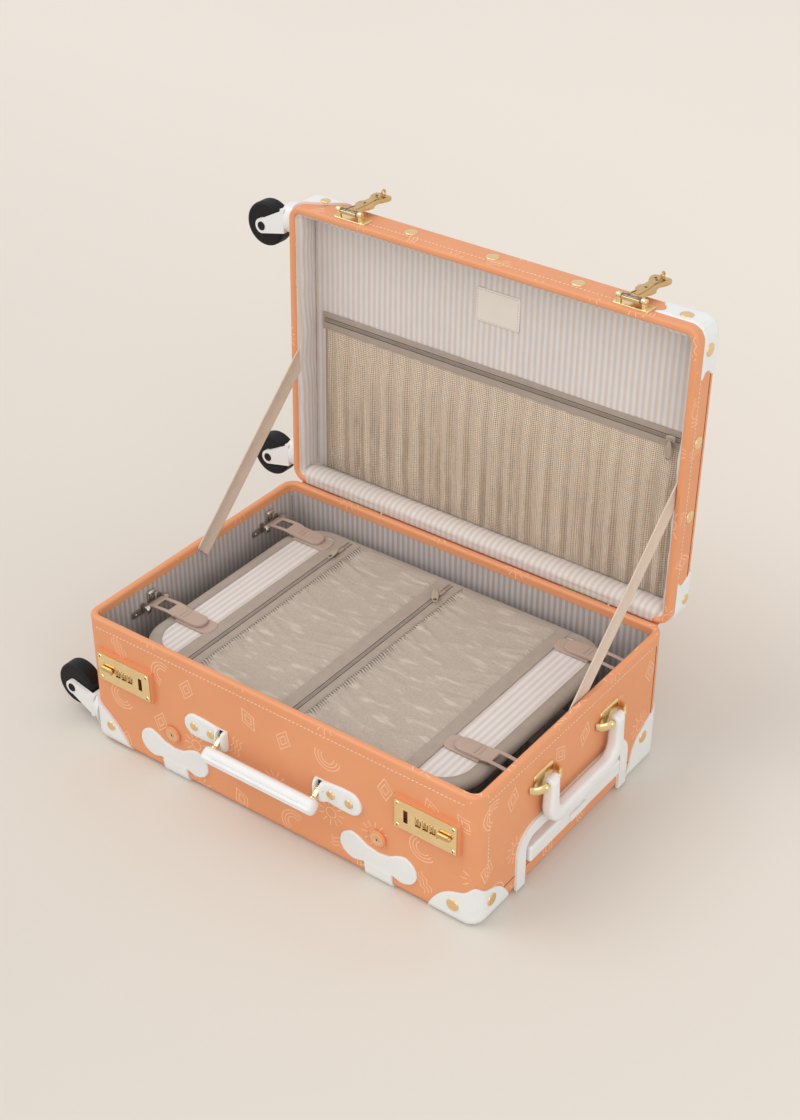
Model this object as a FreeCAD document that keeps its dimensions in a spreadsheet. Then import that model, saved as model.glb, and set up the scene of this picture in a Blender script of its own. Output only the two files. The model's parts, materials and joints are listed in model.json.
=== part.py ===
import FreeCAD, Part
import math
import os
from types import SimpleNamespace

import Sketcher
from FreeCAD import Placement, Rotation, Vector

# Hard-sided carry-on case, lying on its base with the lid open.
# Millimetres. Origin: middle of the base's bottom face, on the floor.
# +X runs to the trolley-handle end, +Y to the hinges, +Z up.
# Lid pieces are drawn with the lid closed and then turned open about the hinge axis.

SIZES = {
    # Case body
    "body_length": 500,
    "body_width": 338,
    "base_height": 163,
    "lid_height": 42,
    "wall": 6,
    "lining": 2,
    "corner_radius": 16,
    "floor_thick": 6,
    "bottom_wrap": 22,
    "bottom_round": 10,
    "lid_wrap": 11,
    "lid_round": 8,
    "lid_panel_thick": 4,
    "rim_height": 10,
    "rim_round": 3,
    "lid_gap": 0.5,
    "clearance": 0.3,
    "running_fit": 0.05,
    # Hinges and stay straps
    "open_angle": 91.5,
    "hinge_drop": 4,
    "hinge_inset": 100,
    "leaf_width": 54,
    "leaf_height": 26,
    "leaf_thick": 1.5,
    "knuckle_radius": 3,
    "knuckle_length": 17,
    "hinge_pin_radius": 1.5,
    "stay_reach": 164,
    "stay_depth": 13,
    "stay_width": 16,
    "stay_thick": 1.5,
    # Corner covers and rivets
    "cover_thick": 1.5,
    "cover_lift": 3,
    "front_cover_radius": 54,
    "back_cover_radius": 66,
    "lid_cover_radius": 53,
    "lid_hinge_cover_radius": 46,
    "rivet_radius": 7,
    "rivet_height": 1.6,
    "rivet_taper": 0.72,
    "cover_reach": 120,
    "cover_rivet_in": 26,
    "cover_rivet_up": 21.5,
    "end_rivet_in": 24,
    "end_rivet_up": 25,
    "back_rivet_in": 33,
    "back_rivet_up": 41,
    "housing_rivet_in": 25.5,
    "housing_rivet_up": 26.5,
    "housing_rivet_radius": 5.6,
    "lid_rivet_pitch": 102,
    "lid_end_rivet_far": 210,
    "lid_end_rivet_near": 125,
    "lid_cover_rivet_in": 26.5,
    "lid_hinge_rivet_in": 22.5,
    "lid_hinge_rivet_down": 13.5,
    # Casters
    "housing_thick": 3,
    "housing_out": 40,
    "housing_drop": 37,
    "housing_side": 20,
    "housing_sweep": 102,
    "lid_housing_drop": 88,
    "lid_housing_sweep": 130,
    "boss_length": 12,
    "boss_radius": 23,
    "boss_tip_radius": 17,
    "caster_inset": 24,
    "caster_rise": 25,
    "lid_caster_rise": 20,
    "stem_radius": 4,
    "stem_length": 9,
    "crown_radius": 15,
    "crown_back": 12,
    "crown_thick": 5,
    "caster_reach": 32,
    "caster_trail": 14,
    "wheel_radius": 25,
    "wheel_width": 20,
    "wheel_round": 4,
    "axle_radius": 4,
    "arm_thick": 4.5,
    "arm_end_radius": 8.5,
    # Front carry handle
    "tab_height": 85,
    "tab_thick": 3,
    "tab_end_radius": 14,
    "tab_neck": 22,
    "tab_rivet_outer": 100.5,
    "tab_rivet_inner": 78,
    "tab_rivet_radius": 5,
    "tab_inner_end": 62,
    "loop_width": 10,
    "loop_radius": 3.4,
    "ring_spacing": 128,
    "ring_width": 14,
    "ring_wire": 1.6,
    "ring_reach": 19.5,
    "ring_height": 88,
    "handle_droop": 38,
    "grip_length": 140,
    "grip_thick": 16,
    "grip_round": 5,
    "grip_end_round": 3,
    # Strap bows and studs
    "stud_inset": 116,
    "stud_height": 57.5,
    "stud_radius": 10,
    "stud_thick": 4,
    "bow_height": 32,
    "bow_lobe_radius": 17,
    "bow_lobe_offset": 29,
    "bow_strap_width": 33,
    "bow_strap_top": 45.6,
    "bow_thick": 2,
    "bow_notch_gap": 2.5,
    # Combination locks
    "lock_inset": 56,
    "lock_height": 108,
    "pad_length": 76,
    "pad_width": 38,
    "pad_thick": 4.5,
    "pad_hollow_length": 63,
    "pad_hollow_width": 26,
    "pad_recess": 4.5,
    "plate_length": 72,
    "plate_width": 34,
    "plate_thick": 1.5,
    "screw_radius": 2.2,
    "screw_height": 0.9,
    "screw_inset": 3.6,
    "slot_offset": 23,
    "slot_width": 5,
    "slot_length": 15,
    "dial_pitch": 8.5,
    "dial_radius": 5.5,
    "dial_width": 6,
    "dial_proud": 1.2,
    "dial_shaft_radius": 1.5,
    "dial_ear": 1.5,
    "slider_offset": 22.5,
    "slider_length": 17,
    "slider_width": 8,
    "slider_thick": 4,
    "slider_stem_length": 5,
    "slider_stem_width": 3,
    "slider_foot_length": 7,
    "slider_foot_width": 6,
    "slider_foot_thick": 1.2,
    "slider_travel": 4,
    # Hasps
    "hasp_width": 34,
    "hasp_plate_thick": 1.5,
    "hasp_plate_height": 16,
    "hasp_rise": 6,
    "hasp_stand_off": 9.5,
    "hasp_knuckle_radius": 3,
    "hasp_pin_radius": 1.2,
    "tongue_width": 22,
    "tongue_length": 62,
    "tongue_thick": 2,
    "staple_width": 3,
    "staple_length": 6,
    "staple_height": 5,
    "staple_offset": 58.5,
    # End carry handle
    "end_pin_spacing": 120,
    "end_pin_height": 119,
    "end_pin_out": 11,
    "end_pin_radius": 2.5,
    "end_plate": 32,
    "end_plate_thick": 2,
    "end_ear_thick": 3.5,
    "end_ear_height": 12,
    "end_leg_width": 14,
    "end_grip_thick": 13,
    "end_grip_low": 62,
    "end_grip_bar": 20,
    "end_grip_outer_round": 22,
    "end_grip_inner_round": 10,
    "end_grip_top_round": 6.3,
    "end_grip_edge_round": 3,
    # Trolley
    "bezel_top": 74,
    "bezel_low": 3,
    "bezel_thick": 3,
    "bezel_frame": 15,
    "bezel_round": 30,
    "bezel_foot_round": 0.5,
    "trolley_pocket_depth": 5,
    "trolley_pocket_low": 24,
    "tube_spacing": 124,
    "tube_height": 37.5,
    "outer_tube_radius": 9,
    "tube_wall": 1,
    "foot_gap": 2,
    "foot_length": 15,
    "foot_half_width": 14,
    "inner_tube_gap": 30,
    "tunnel_half_width": 15,
    "tunnel_top": 47.5,
    "trolley_grip_end_gap": 4,
    "trolley_grip_height": 19,
    "trolley_grip_out": 6,
    "trolley_grip_round": 3,
    "button_length": 28,
    "button_width": 9,
    "button_proud": 2,
    "button_depth": 4.5,
    "button_pocket": 8,
    # Divider panel, its pockets and clips
    "divider_end_gap": 32,
    "divider_side_gap": 12.5,
    "divider_radius": 48,
    "divider_drop": 45,
    "divider_thick": 12,
    "divider_round": 5,
    "pocket_fold": 14,
    "pocket_swell": 1.2,
    "mesh_thick": 0.8,
    "divider_zip_inset": 72,
    "divider_zip_right": 2,
    "divider_pocket_inset": 70,
    "divider_pocket_margin": 10.5,
    "zip_width": 14,
    "zip_thick": 1.2,
    "zip_slider_length": 11,
    "zip_slider_width": 8,
    "zip_slider_thick": 3,
    "divider_slider_inset": 30.5,
    "clip_front_inset": 68.5,
    "clip_back_inset": 30.5,
    "clip_width": 22,
    "clip_inset": 12,
    "clip_pivot_rise": 4.3,
    "clip_tab_length": 27,
    "clip_tab_thick": 3,
    "clip_ear": 3,
    "clip_barrel_radius": 3,
    "clip_pin_radius": 1.5,
    "clip_thick": 3,
    "clip_plate_gap": 5,
    "clip_window_length": 18,
    "clip_window_width": 12,
    "clip_lip": 2.5,
    "clip_lip_drop": 5,
    "bar_out": 8,
    "bar_radius": 1.5,
    "bracket_thick": 1.5,
    "bracket_width": 31,
    "bracket_height": 18,
    "bracket_arm": 2.5,
    # Lid pocket
    "lid_pocket_inset": 14,
    "lid_pocket_low": 14,
    "roll_radius": 8,
    "lid_zip_middle": 197,
    "lid_fold": 15.2,
    "lid_swell": 1.8,
    "lid_slider_inset": 14,
}


class Size:
    """A length that knows its number and the sheet formula that gives it."""

    def __init__(self, number, text):
        self.number = float(number)
        self.text = text

    def joined(self, sign, other, number):
        return Size(number, "(%s %s %s)" % (self.text, sign, text_of(other)))

    def __float__(self):
        return self.number

    def __add__(self, other):
        return self.joined("+", other, self.number + float(other))

    def __sub__(self, other):
        return self.joined("-", other, self.number - float(other))

    def __mul__(self, other):
        return self.joined("*", other, self.number * float(other))

    def __truediv__(self, other):
        return self.joined("/", other, self.number / float(other))

    def __neg__(self):
        return self * -1

    __rmul__ = __mul__


def text_of(size):
    return size.text if isinstance(size, Size) else "(%r)" % float(size)


doc = FreeCAD.newDocument("carry_on_case")
sheet = doc.addObject("Spreadsheet::Sheet", "Sizes")
for row, (alias, number) in enumerate(SIZES.items(), start=1):
    sheet.set("A%d" % row, alias)
    sheet.set("B%d" % row, str(number))
    sheet.setAlias("B%d" % row, alias)
doc.recompute()
s = SimpleNamespace(**{alias: Size(sheet.get(alias), "Sizes." + alias) for alias in SIZES})

# Planes and levels that several pieces share
HALF_LENGTH = s.body_length / 2
HALF_WIDTH = s.body_width / 2
INNER_LENGTH = HALF_LENGTH - s.wall
INNER_WIDTH = HALF_WIDTH - s.wall
LINING_LENGTH = INNER_LENGTH - s.lining
LINING_WIDTH = INNER_WIDTH - s.lining
INNER_RADIUS = s.corner_radius - s.wall
LINING_RADIUS = INNER_RADIUS - s.lining
RIM_LOW = s.base_height - s.rim_height
LID_LOW = s.base_height + s.lid_gap
LID_RIM_TOP = LID_LOW + s.rim_height
LID_TOP = LID_LOW + s.lid_height
LID_SEAM = LID_TOP - s.lid_wrap
LID_INSIDE = LID_TOP - s.lid_panel_thick
LID_LINING_FACE = LID_INSIDE - s.lining
LID_MIDDLE = LID_LOW + s.lid_height / 2
HINGE_Z = s.base_height - s.hinge_drop
DIVIDER_LOW = s.base_height - s.divider_drop
DIVIDER_TOP = DIVIDER_LOW + s.divider_thick
BEZEL_WIDTH = HALF_WIDTH - s.back_cover_radius
BEZEL_OPENING = BEZEL_WIDTH - s.bezel_frame
DIVIDER_LENGTH = LINING_LENGTH - s.divider_end_gap
DIVIDER_WIDTH = LINING_WIDTH - s.divider_side_gap
LOCK_X = HALF_LENGTH - s.lock_inset
STUD_X = HALF_LENGTH - s.stud_inset
SIDES = (("left", -1), ("right", 1))

LID_OPEN = Placement(
    Vector(0, 0, 0),
    Rotation(Vector(1, 0, 0), -float(s.open_angle)),
    Vector(0, float(HALF_WIDTH), float(HINGE_Z)),
)

NODES = []


def bind(target, formulas):
    for name, size in formulas.items():
        target.setExpression(name, text_of(size))


def place(target, x, y, z):
    bind(target, {"Placement.Base.x": x, "Placement.Base.y": y, "Placement.Base.z": z})


def node(target, label, in_lid=False):
    """Name a finished sub-part, and turn it open with the lid if it belongs there."""
    target.Label = label
    if in_lid:
        target.Placement = LID_OPEN.multiply(target.Placement)
    NODES.append(target)
    return target


def around(middle, width):
    return (middle - width / 2, middle + width / 2)


def on_side(sign, low, high):
    """The span from low to high, or its mirror image for a negative sign."""
    return (low, high) if sign > 0 else (-high, -low)


def box(name, x, y, z):
    """Box between the (low, high) pairs x, y and z."""
    solid = doc.addObject("Part::Box", name)
    bind(solid, {"Length": x[1] - x[0], "Width": y[1] - y[0], "Height": z[1] - z[0]})
    place(solid, x[0], y[0], z[0])
    return solid


AXIS_TURN = {
    "x": Rotation(Vector(0, 1, 0), 90),
    "y": Rotation(Vector(1, 0, 0), -90),
    "z": Rotation(),
}


def rod(name, axis, start, length, radius):
    """Cylinder from the point start along +x, +y or +z."""
    solid = doc.addObject("Part::Cylinder", name)
    solid.Placement = Placement(Vector(), AXIS_TURN[axis])
    bind(solid, {"Radius": radius, "Height": length})
    place(solid, *start)
    return solid


FACING = {
    "front": Rotation(Vector(1, 0, 0), 90),
    "back": Rotation(Vector(1, 0, 0), -90),
    "right": Rotation(Vector(0, 1, 0), 90),
}


def rivet(name, facing, centre, radius, height):
    """Low domed head whose base is at centre and whose top faces the front, back or right."""
    head = doc.addObject("Part::Cone", name)
    head.Placement = Placement(Vector(), FACING[facing])
    bind(head, {"Radius1": radius, "Radius2": radius * s.rivet_taper, "Height": height})
    place(head, *centre)
    return head


def cut(name, base, tools):
    tool = tools[0] if len(tools) == 1 else fuse(name + "_tools", tools)
    result = doc.addObject("Part::Cut", name)
    result.Base = base
    result.Tool = tool
    return result


def fuse(name, pieces):
    result = doc.addObject("Part::MultiFuse", name)
    result.Shapes = pieces
    return result


def common(name, pieces):
    result = doc.addObject("Part::MultiCommon", name)
    result.Shapes = pieces
    return result


def group(name, pieces):
    result = doc.addObject("Part::Compound", name)
    result.Links = pieces
    return result


def feature(name, shape):
    result = doc.addObject("Part::Feature", name)
    result.Shape = shape
    return result


def new_body(name):
    return doc.addObject("PartDesign::Body", name)


def new_sketch(body, name, role, lift):
    """Sketch on one of the body's own origin planes, lifted along the plane's normal."""
    sketch = body.newObject("Sketcher::SketchObject", name)
    plane = next(item for item in body.Origin.OriginFeatures if item.Role == role)
    sketch.AttachmentSupport = [(plane, "")]
    sketch.MapMode = "FlatFace"
    bind(sketch, {"AttachmentOffset.Base.z": lift})
    return sketch


def rounded_rectangle(sketch, x, y, low_radius, high_radius):
    """Closed outline between the pairs x and y, with its two lower and two upper corner radii."""
    left, right = float(x[0]), float(x[1])
    low, high = float(y[0]), float(y[1])
    small, large = float(low_radius), float(high_radius)
    corners = (
        (right - small, low + small, small, -90),
        (right - large, high - large, large, 0),
        (left + large, high - large, large, 90),
        (left + small, low + small, small, 180),
    )
    arcs = []
    for across, up, radius, start in corners:
        circle = Part.Circle(Vector(across, up, 0), Vector(0, 0, 1), radius)
        arc = Part.ArcOfCircle(circle, math.radians(start), math.radians(start + 90))
        arcs.append(sketch.addGeometry(arc, False))
    lines = []
    for number in range(4):
        begin = sketch.Geometry[arcs[number]].EndPoint
        end = sketch.Geometry[arcs[(number + 1) % 4]].StartPoint
        lines.append(sketch.addGeometry(Part.LineSegment(begin, end), False))
    rules = []
    for number in range(4):
        rules.append(Sketcher.Constraint("Tangent", arcs[number], 2, lines[number], 1))
        rules.append(Sketcher.Constraint("Tangent", lines[number], 2, arcs[(number + 1) % 4], 1))
    rules.append(Sketcher.Constraint("Vertical", lines[0]))
    rules.append(Sketcher.Constraint("Horizontal", lines[1]))
    rules.append(Sketcher.Constraint("Equal", arcs[0], arcs[3]))
    rules.append(Sketcher.Constraint("Equal", arcs[1], arcs[2]))
    sketch.addConstraint(rules)
    for kind, line, size in (
        ("DistanceX", lines[2], x[0]),
        ("DistanceX", lines[0], x[1]),
        ("DistanceY", lines[3], y[0]),
        ("DistanceY", lines[1], y[1]),
    ):
        index = sketch.addConstraint(Sketcher.Constraint(kind, -1, 1, line, 1, float(size)))
        sketch.setExpression("Constraints[%d]" % index, text_of(size))
    for arc, radius in ((arcs[0], low_radius), (arcs[1], high_radius)):
        index = sketch.addConstraint(Sketcher.Constraint("Radius", arc, float(radius)))
        sketch.setExpression("Constraints[%d]" % index, text_of(radius))


def pad(body, sketch, length):
    result = body.newObject("PartDesign::Pad", body.Name + "_pad")
    result.Profile = sketch
    bind(result, {"Length": length})
    return result


def pocket(body, sketch, depth):
    """Cut below the sketch, against its normal."""
    before = body.Shape.Volume
    result = body.newObject("PartDesign::Pocket", body.Name + "_pocket")
    result.Profile = sketch
    bind(result, {"Length": depth})
    doc.recompute()
    if body.Shape.Volume >= before:
        raise RuntimeError("the pocket in %s cuts nothing" % body.Name)
    return result


def round_edges(body, base, radius, wanted):
    """Fillet the edges of the feature base for which wanted(edge) holds."""
    doc.recompute()
    names = []
    for number, edge in enumerate(base.Shape.Edges, start=1):
        if wanted(edge):
            names.append("Edge%d" % number)
    result = body.newObject("PartDesign::Fillet", body.Name + "_fillet")
    result.Base = (base, names)
    bind(result, {"Radius": radius})
    return result


def on_level(axis, *levels):
    """Test for edges that lie wholly on one of the given levels of an axis."""
    def wanted(edge):
        low = getattr(edge.BoundBox, axis + "Min")
        high = getattr(edge.BoundBox, axis + "Max")
        return any(abs(low - float(at)) < 1e-4 and abs(high - float(at)) < 1e-4 for at in levels)
    return wanted


def rounded_slab(name, x, y, radius, z):
    """PartDesign body: a rounded rectangle padded between the pair of levels z."""
    body = new_body(name)
    sketch = new_sketch(body, name + "_outline", "XY_Plane", z[0])
    rounded_rectangle(sketch, x, y, radius, radius)
    pad(body, sketch, z[1] - z[0])
    doc.recompute()
    return body


def both(size):
    return (-size, size)


def ring_body(name, outer, inner, outer_radius, inner_radius, z):
    """PartDesign body: a rounded frame between the levels z; outer and inner are half sizes."""
    body = new_body(name)
    sketch = new_sketch(body, name + "_outline", "XY_Plane", z[0])
    rounded_rectangle(sketch, both(outer[0]), both(outer[1]), outer_radius, outer_radius)
    rounded_rectangle(sketch, both(inner[0]), both(inner[1]), inner_radius, inner_radius)
    pad(body, sketch, z[1] - z[0])
    doc.recompute()
    return body


OUTER = (HALF_LENGTH, HALF_WIDTH)
INNER = (INNER_LENGTH, INNER_WIDTH)
LINED = (LINING_LENGTH, LINING_WIDTH)
LOCK_PLATE_FACE = -(HALF_WIDTH + s.pad_thick + s.plate_thick)
DIAL_Y = LOCK_PLATE_FACE - s.dial_proud + s.dial_radius


def build_base_walls():
    blank = ring_body("base_walls_blank", OUTER, INNER, s.corner_radius, INNER_RADIUS,
                      (s.bottom_wrap, RIM_LOW))
    tools = []
    for side, sign in SIDES:
        tools.append(box("lock_recess_" + side,
                         around(sign * LOCK_X, s.pad_hollow_length),
                         (-HALF_WIDTH - s.wall, -HALF_WIDTH + s.pad_recess),
                         around(s.lock_height, s.pad_hollow_width)))
        tools.append(rod("tube_hole_" + side, "x",
                         (INNER_LENGTH - s.wall, sign * s.tube_spacing / 2, s.tube_height),
                         3 * s.wall, s.outer_tube_radius))
    tools.append(box("trolley_recess",
                     (HALF_LENGTH - s.trolley_pocket_depth, HALF_LENGTH + s.wall),
                     both(BEZEL_OPENING),
                     (s.trolley_pocket_low, s.bezel_top - s.bezel_frame)))
    node(cut("base_walls", blank, tools), "base_walls")


def tray_bottom(name):
    """Bottom panel with its rounded outer edge and the low wall that wraps up to the seam."""
    body = rounded_slab(name, both(HALF_LENGTH), both(HALF_WIDTH), s.corner_radius,
                        (0, s.bottom_wrap))
    sketch = new_sketch(body, name + "_hollow", "XY_Plane", s.bottom_wrap)
    rounded_rectangle(sketch, both(INNER_LENGTH), both(INNER_WIDTH), INNER_RADIUS, INNER_RADIUS)
    hollow = pocket(body, sketch, s.bottom_wrap - s.floor_thick)
    round_edges(body, hollow, s.bottom_round, on_level("Z", 0))
    return body


def build_base_bottom():
    node(tray_bottom("base_bottom"), "base_bottom")


def hinge_middle(sign):
    return sign * (HALF_LENGTH - s.hinge_inset)


def build_base_rim():
    body = ring_body("base_rim_blank", OUTER, LINED, s.corner_radius, LINING_RADIUS,
                     (RIM_LOW, s.base_height))
    round_edges(body, body.Tip, s.rim_round, on_level("Z", s.base_height))
    recesses = []
    for side, sign in SIDES:
        low, high = around(hinge_middle(sign), s.leaf_width + 2 * s.lid_gap)
        recesses.append(rod("knuckle_recess_" + side, "x", (low, HALF_WIDTH, HINGE_Z),
                            high - low, s.knuckle_radius + s.lid_gap))
    node(cut("base_rim", body, recesses), "base_rim")


def build_base_lining():
    """Sewn lining of the base, with two tunnels over the trolley tubes."""
    floor_top = s.floor_thick + s.lining
    block = rounded_slab("base_lining_block", both(INNER_LENGTH), both(INNER_WIDTH),
                         INNER_RADIUS, (s.floor_thick, RIM_LOW))
    space = rounded_slab("base_lining_space", both(LINING_LENGTH), both(LINING_WIDTH),
                         LINING_RADIUS, (floor_top, RIM_LOW + s.lining))
    covers = []
    tunnels = []
    for side, sign in SIDES:
        middle = sign * s.tube_spacing / 2
        covers.append(box("tunnel_cover_" + side, both(LINING_LENGTH),
                          around(middle, 2 * s.tunnel_half_width + 2 * s.lining),
                          (s.floor_thick, s.tunnel_top + s.lining)))
        tunnels.append(box("tunnel_" + side, (-LINING_LENGTH, HALF_LENGTH),
                           around(middle, 2 * s.tunnel_half_width),
                           (s.floor_thick - s.lining, s.tunnel_top)))
    tray = cut("base_lining_tray", block, [space])
    raised = fuse("base_lining_raised", [tray] + covers)
    node(cut("base_lining", raised, tunnels), "base_lining")


def sphere(name, centre, radius):
    solid = doc.addObject("Part::Sphere", name)
    bind(solid, {"Radius": radius})
    place(solid, *centre)
    return solid


def base_skin(name, thick):
    """Layer of the given thickness on the outside of the base's lower walls."""
    high = s.cover_reach
    body = rounded_slab(name + "_outer", both(HALF_LENGTH + thick), both(HALF_WIDTH + thick),
                        s.corner_radius + thick, (0, high))
    round_edges(body, body.Tip, s.bottom_round + thick, on_level("Z", 0))
    inside = rounded_slab(name + "_inner", both(HALF_LENGTH), both(HALF_WIDTH), s.corner_radius,
                          (0, high))
    round_edges(inside, inside.Tip, s.bottom_round, on_level("Z", 0))
    slab = box(name + "_lift", both(s.body_length), both(s.body_width), (s.cover_lift, high))
    layer = cut(name + "_layer", body, [inside])
    return common(name, [layer, slab])


def build_base_corner_covers():
    covers = []
    for side, sign, radius in (("front", -1, s.front_cover_radius), ("back", 1, s.back_cover_radius)):
        skin = base_skin("base_cover_skin_" + side, s.cover_thick)
        ball = sphere("base_cover_ball_" + side,
                      (HALF_LENGTH, sign * HALF_WIDTH, 0), radius)
        covers.append(common("base_cover_" + side, [skin, ball]))
    node(group("base_corner_covers", covers), "base_corner_covers")


def boss(name, middle_y, middle_z, radius):
    """Round boss on the left end that takes a caster's stem."""
    solid = doc.addObject("Part::Cone", name)
    solid.Placement = Placement(Vector(), Rotation(Vector(0, 1, 0), -90))
    bind(solid, {"Radius1": radius, "Radius2": s.boss_tip_radius, "Height": s.boss_length})
    place(solid, -HALF_LENGTH, middle_y, middle_z)
    return solid


def stem_bore(name, middle_y, middle_z):
    depth = s.stem_length + s.clearance
    face = -HALF_LENGTH - s.boss_length
    return rod(name, "x", (face - s.clearance, middle_y, middle_z), depth + s.clearance,
               s.stem_radius + s.running_fit)


def caster_y(sign):
    return sign * (HALF_WIDTH - s.caster_inset)


def build_base_caster_housings():
    housings = []
    for side, sign in (("front", -1), ("back", 1)):
        name = "base_housing_" + side
        skin = base_skin(name + "_skin", s.housing_thick)
        ball = sphere(name + "_ball",
                      (-HALF_LENGTH - s.housing_out, sign * (HALF_WIDTH + s.housing_side),
                       -s.housing_drop), s.housing_sweep)
        cap = common(name + "_cap", [skin, ball])
        knob = boss(name + "_boss", caster_y(sign), s.caster_rise, s.boss_radius)
        solid = fuse(name + "_solid", [cap, knob])
        housings.append(cut(name, solid, [stem_bore(name + "_bore", caster_y(sign), s.caster_rise)]))
    node(group("base_caster_housings", housings), "base_caster_housings")


def build_base_rivets():
    """Gold rivets of the covers, housings and handle tabs, and the two strap studs."""
    front_cover = -(HALF_WIDTH + s.cover_thick)
    right_cover = HALF_LENGTH + s.cover_thick
    across = HALF_LENGTH - s.cover_rivet_in
    heads = [
        rivet("cover_rivet_front", "front", (across, front_cover, s.cover_rivet_up),
              s.rivet_radius, s.rivet_height),
        rivet("cover_rivet_end_front", "right", (right_cover, s.end_rivet_in - HALF_WIDTH, s.end_rivet_up),
              s.rivet_radius, s.rivet_height),
        rivet("cover_rivet_back", "back", (across, -front_cover, s.cover_rivet_up),
              s.rivet_radius, s.rivet_height),
        rivet("cover_rivet_end_back", "right",
              (right_cover, HALF_WIDTH - s.back_rivet_in, s.back_rivet_up),
              s.rivet_radius, s.rivet_height),
    ]
    for facing, sign in (("front", -1), ("back", 1)):
        heads.append(rivet("housing_rivet_" + facing, facing,
                           (s.housing_rivet_in - HALF_LENGTH,
                            sign * (HALF_WIDTH + s.housing_thick), s.housing_rivet_up),
                           s.housing_rivet_radius, s.rivet_height))
    for side, sign in SIDES:
        for part, offset in (("outer", s.tab_rivet_outer), ("inner", s.tab_rivet_inner)):
            heads.append(rivet("tab_rivet_%s_%s" % (part, side), "front",
                               (sign * offset, -HALF_WIDTH - s.tab_thick, s.tab_height),
                               s.tab_rivet_radius, s.rivet_height))
        heads.append(rivet("strap_stud_" + side, "front",
                           (sign * STUD_X, -HALF_WIDTH, s.stud_height),
                           s.stud_radius, s.stud_thick))
    node(group("base_rivets", heads), "base_rivets")


RING_Y = -(HALF_WIDTH + s.tab_thick + s.ring_wire + s.clearance)


def build_front_handle_tabs():
    """Leather tabs riveted to the front, each with the loop that its ring turns in."""
    tabs = []
    back = (-HALF_WIDTH - s.tab_thick, -HALF_WIDTH)
    for side, sign in SIDES:
        name = "front_tab_" + side
        lobe = rod(name + "_lobe", "y",
                   (sign * s.tab_rivet_outer, back[0], s.tab_height), s.tab_thick,
                   s.tab_end_radius)
        neck = box(name + "_neck", on_side(sign, s.tab_inner_end, s.tab_rivet_outer), back,
                   around(s.tab_height, s.tab_neck))
        low, high = around(sign * s.ring_spacing / 2, s.loop_width)
        loop = rod(name + "_loop", "x", (low, RING_Y, s.ring_height), high - low, s.loop_radius)
        seat = box(name + "_seat", (low, high), (RING_Y, -HALF_WIDTH),
                   around(s.ring_height, 2 * s.loop_radius))
        hole = rod(name + "_hole", "x", (low - s.clearance, RING_Y, s.ring_height),
                   high - low + 2 * s.clearance, s.ring_wire + s.running_fit)
        tabs.append(cut(name, fuse(name + "_solid", [lobe, neck, loop, seat]), [hole]))
    node(group("front_handle_tabs", tabs), "front_handle_tabs")


def wire_rod(start, end, radius):
    run = end - start
    return Part.makeCylinder(radius, run.Length, start, run)


def ring_shape(middle_x):
    """Rectangular wire ring from the pivot bar at y = 0 to the bar inside the grip."""
    radius = float(s.ring_wire)
    reach = float(s.ring_reach)
    half = float(s.ring_width) / 2
    corners = (
        Vector(middle_x - half, 0, 0),
        Vector(middle_x + half, 0, 0),
        Vector(middle_x + half, -reach, 0),
        Vector(middle_x - half, -reach, 0),
    )
    pieces = []
    for number in range(4):
        pieces.append(wire_rod(corners[number], corners[(number + 1) % 4], radius))
        pieces.append(Part.makeSphere(radius, corners[number]))
    return pieces[0].multiFuse(pieces[1:]).removeSplitter()


def build_front_handle():
    """Padded grip and its two wire rings, drawn level and then drooped about the pivot."""
    grip = new_body("front_grip_body")
    sketch = new_sketch(grip, "front_grip_outline", "YZ_Plane", s.grip_length / -2)
    rounded_rectangle(sketch, around(-s.ring_reach, s.grip_thick),
                      both(s.grip_thick / 2), s.grip_round, s.grip_round)
    bar = pad(grip, sketch, s.grip_length)
    round_edges(grip, bar, s.grip_end_round, on_level("X", s.grip_length / 2, s.grip_length / -2))
    rings = []
    for side, sign in SIDES:
        rings.append(feature("front_ring_" + side, ring_shape(sign * float(s.ring_spacing) / 2)))
    drilled = cut("front_grip", grip, [fuse("front_rings_tool", rings)])
    handle = group("front_handle", [drilled] + rings)
    handle.Placement = Placement(Vector(0, float(RING_Y), float(s.ring_height)),
                                 Rotation(Vector(1, 0, 0), float(s.handle_droop)))
    node(handle, "front_handle")


def build_strap_bows():
    """Leather bows under the studs, with the strap that runs down to the bottom edge."""
    bows = []
    back = (-HALF_WIDTH - s.bow_thick, -HALF_WIDTH)
    for side, sign in SIDES:
        name = "strap_bow_" + side
        middle = sign * STUD_X
        pieces = []
        for lobe, way in SIDES:
            pieces.append(rod("%s_lobe_%s" % (name, lobe), "y",
                              (middle + way * s.bow_lobe_offset, back[0], s.bow_height),
                              s.bow_thick, s.bow_lobe_radius))
        pieces.append(box(name + "_strap", around(middle, s.bow_strap_width), back,
                          (s.bottom_round + s.running_fit, s.bow_strap_top)))
        notch = rod(name + "_notch", "y", (middle, back[0] - s.bow_thick, s.stud_height),
                    3 * s.bow_thick, s.stud_radius + s.bow_notch_gap)
        bows.append(cut(name, fuse(name + "_solid", pieces), [notch]))
    node(group("strap_bows", bows), "strap_bows")


def build_lock_pads():
    pads = []
    for side, sign in SIDES:
        middle = sign * LOCK_X
        depth = (-HALF_WIDTH - s.pad_thick, -HALF_WIDTH)
        block = box("lock_pad_block_" + side, around(middle, s.pad_length), depth,
                    around(s.lock_height, s.pad_width))
        hollow = box("lock_pad_hollow_" + side, around(middle, s.pad_hollow_length),
                     (depth[0] - s.pad_thick, depth[1] + s.pad_thick),
                     around(s.lock_height, s.pad_hollow_width))
        pads.append(cut("lock_pad_" + side, block, [hollow]))
    node(group("lock_pads", pads), "lock_pads")


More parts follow.
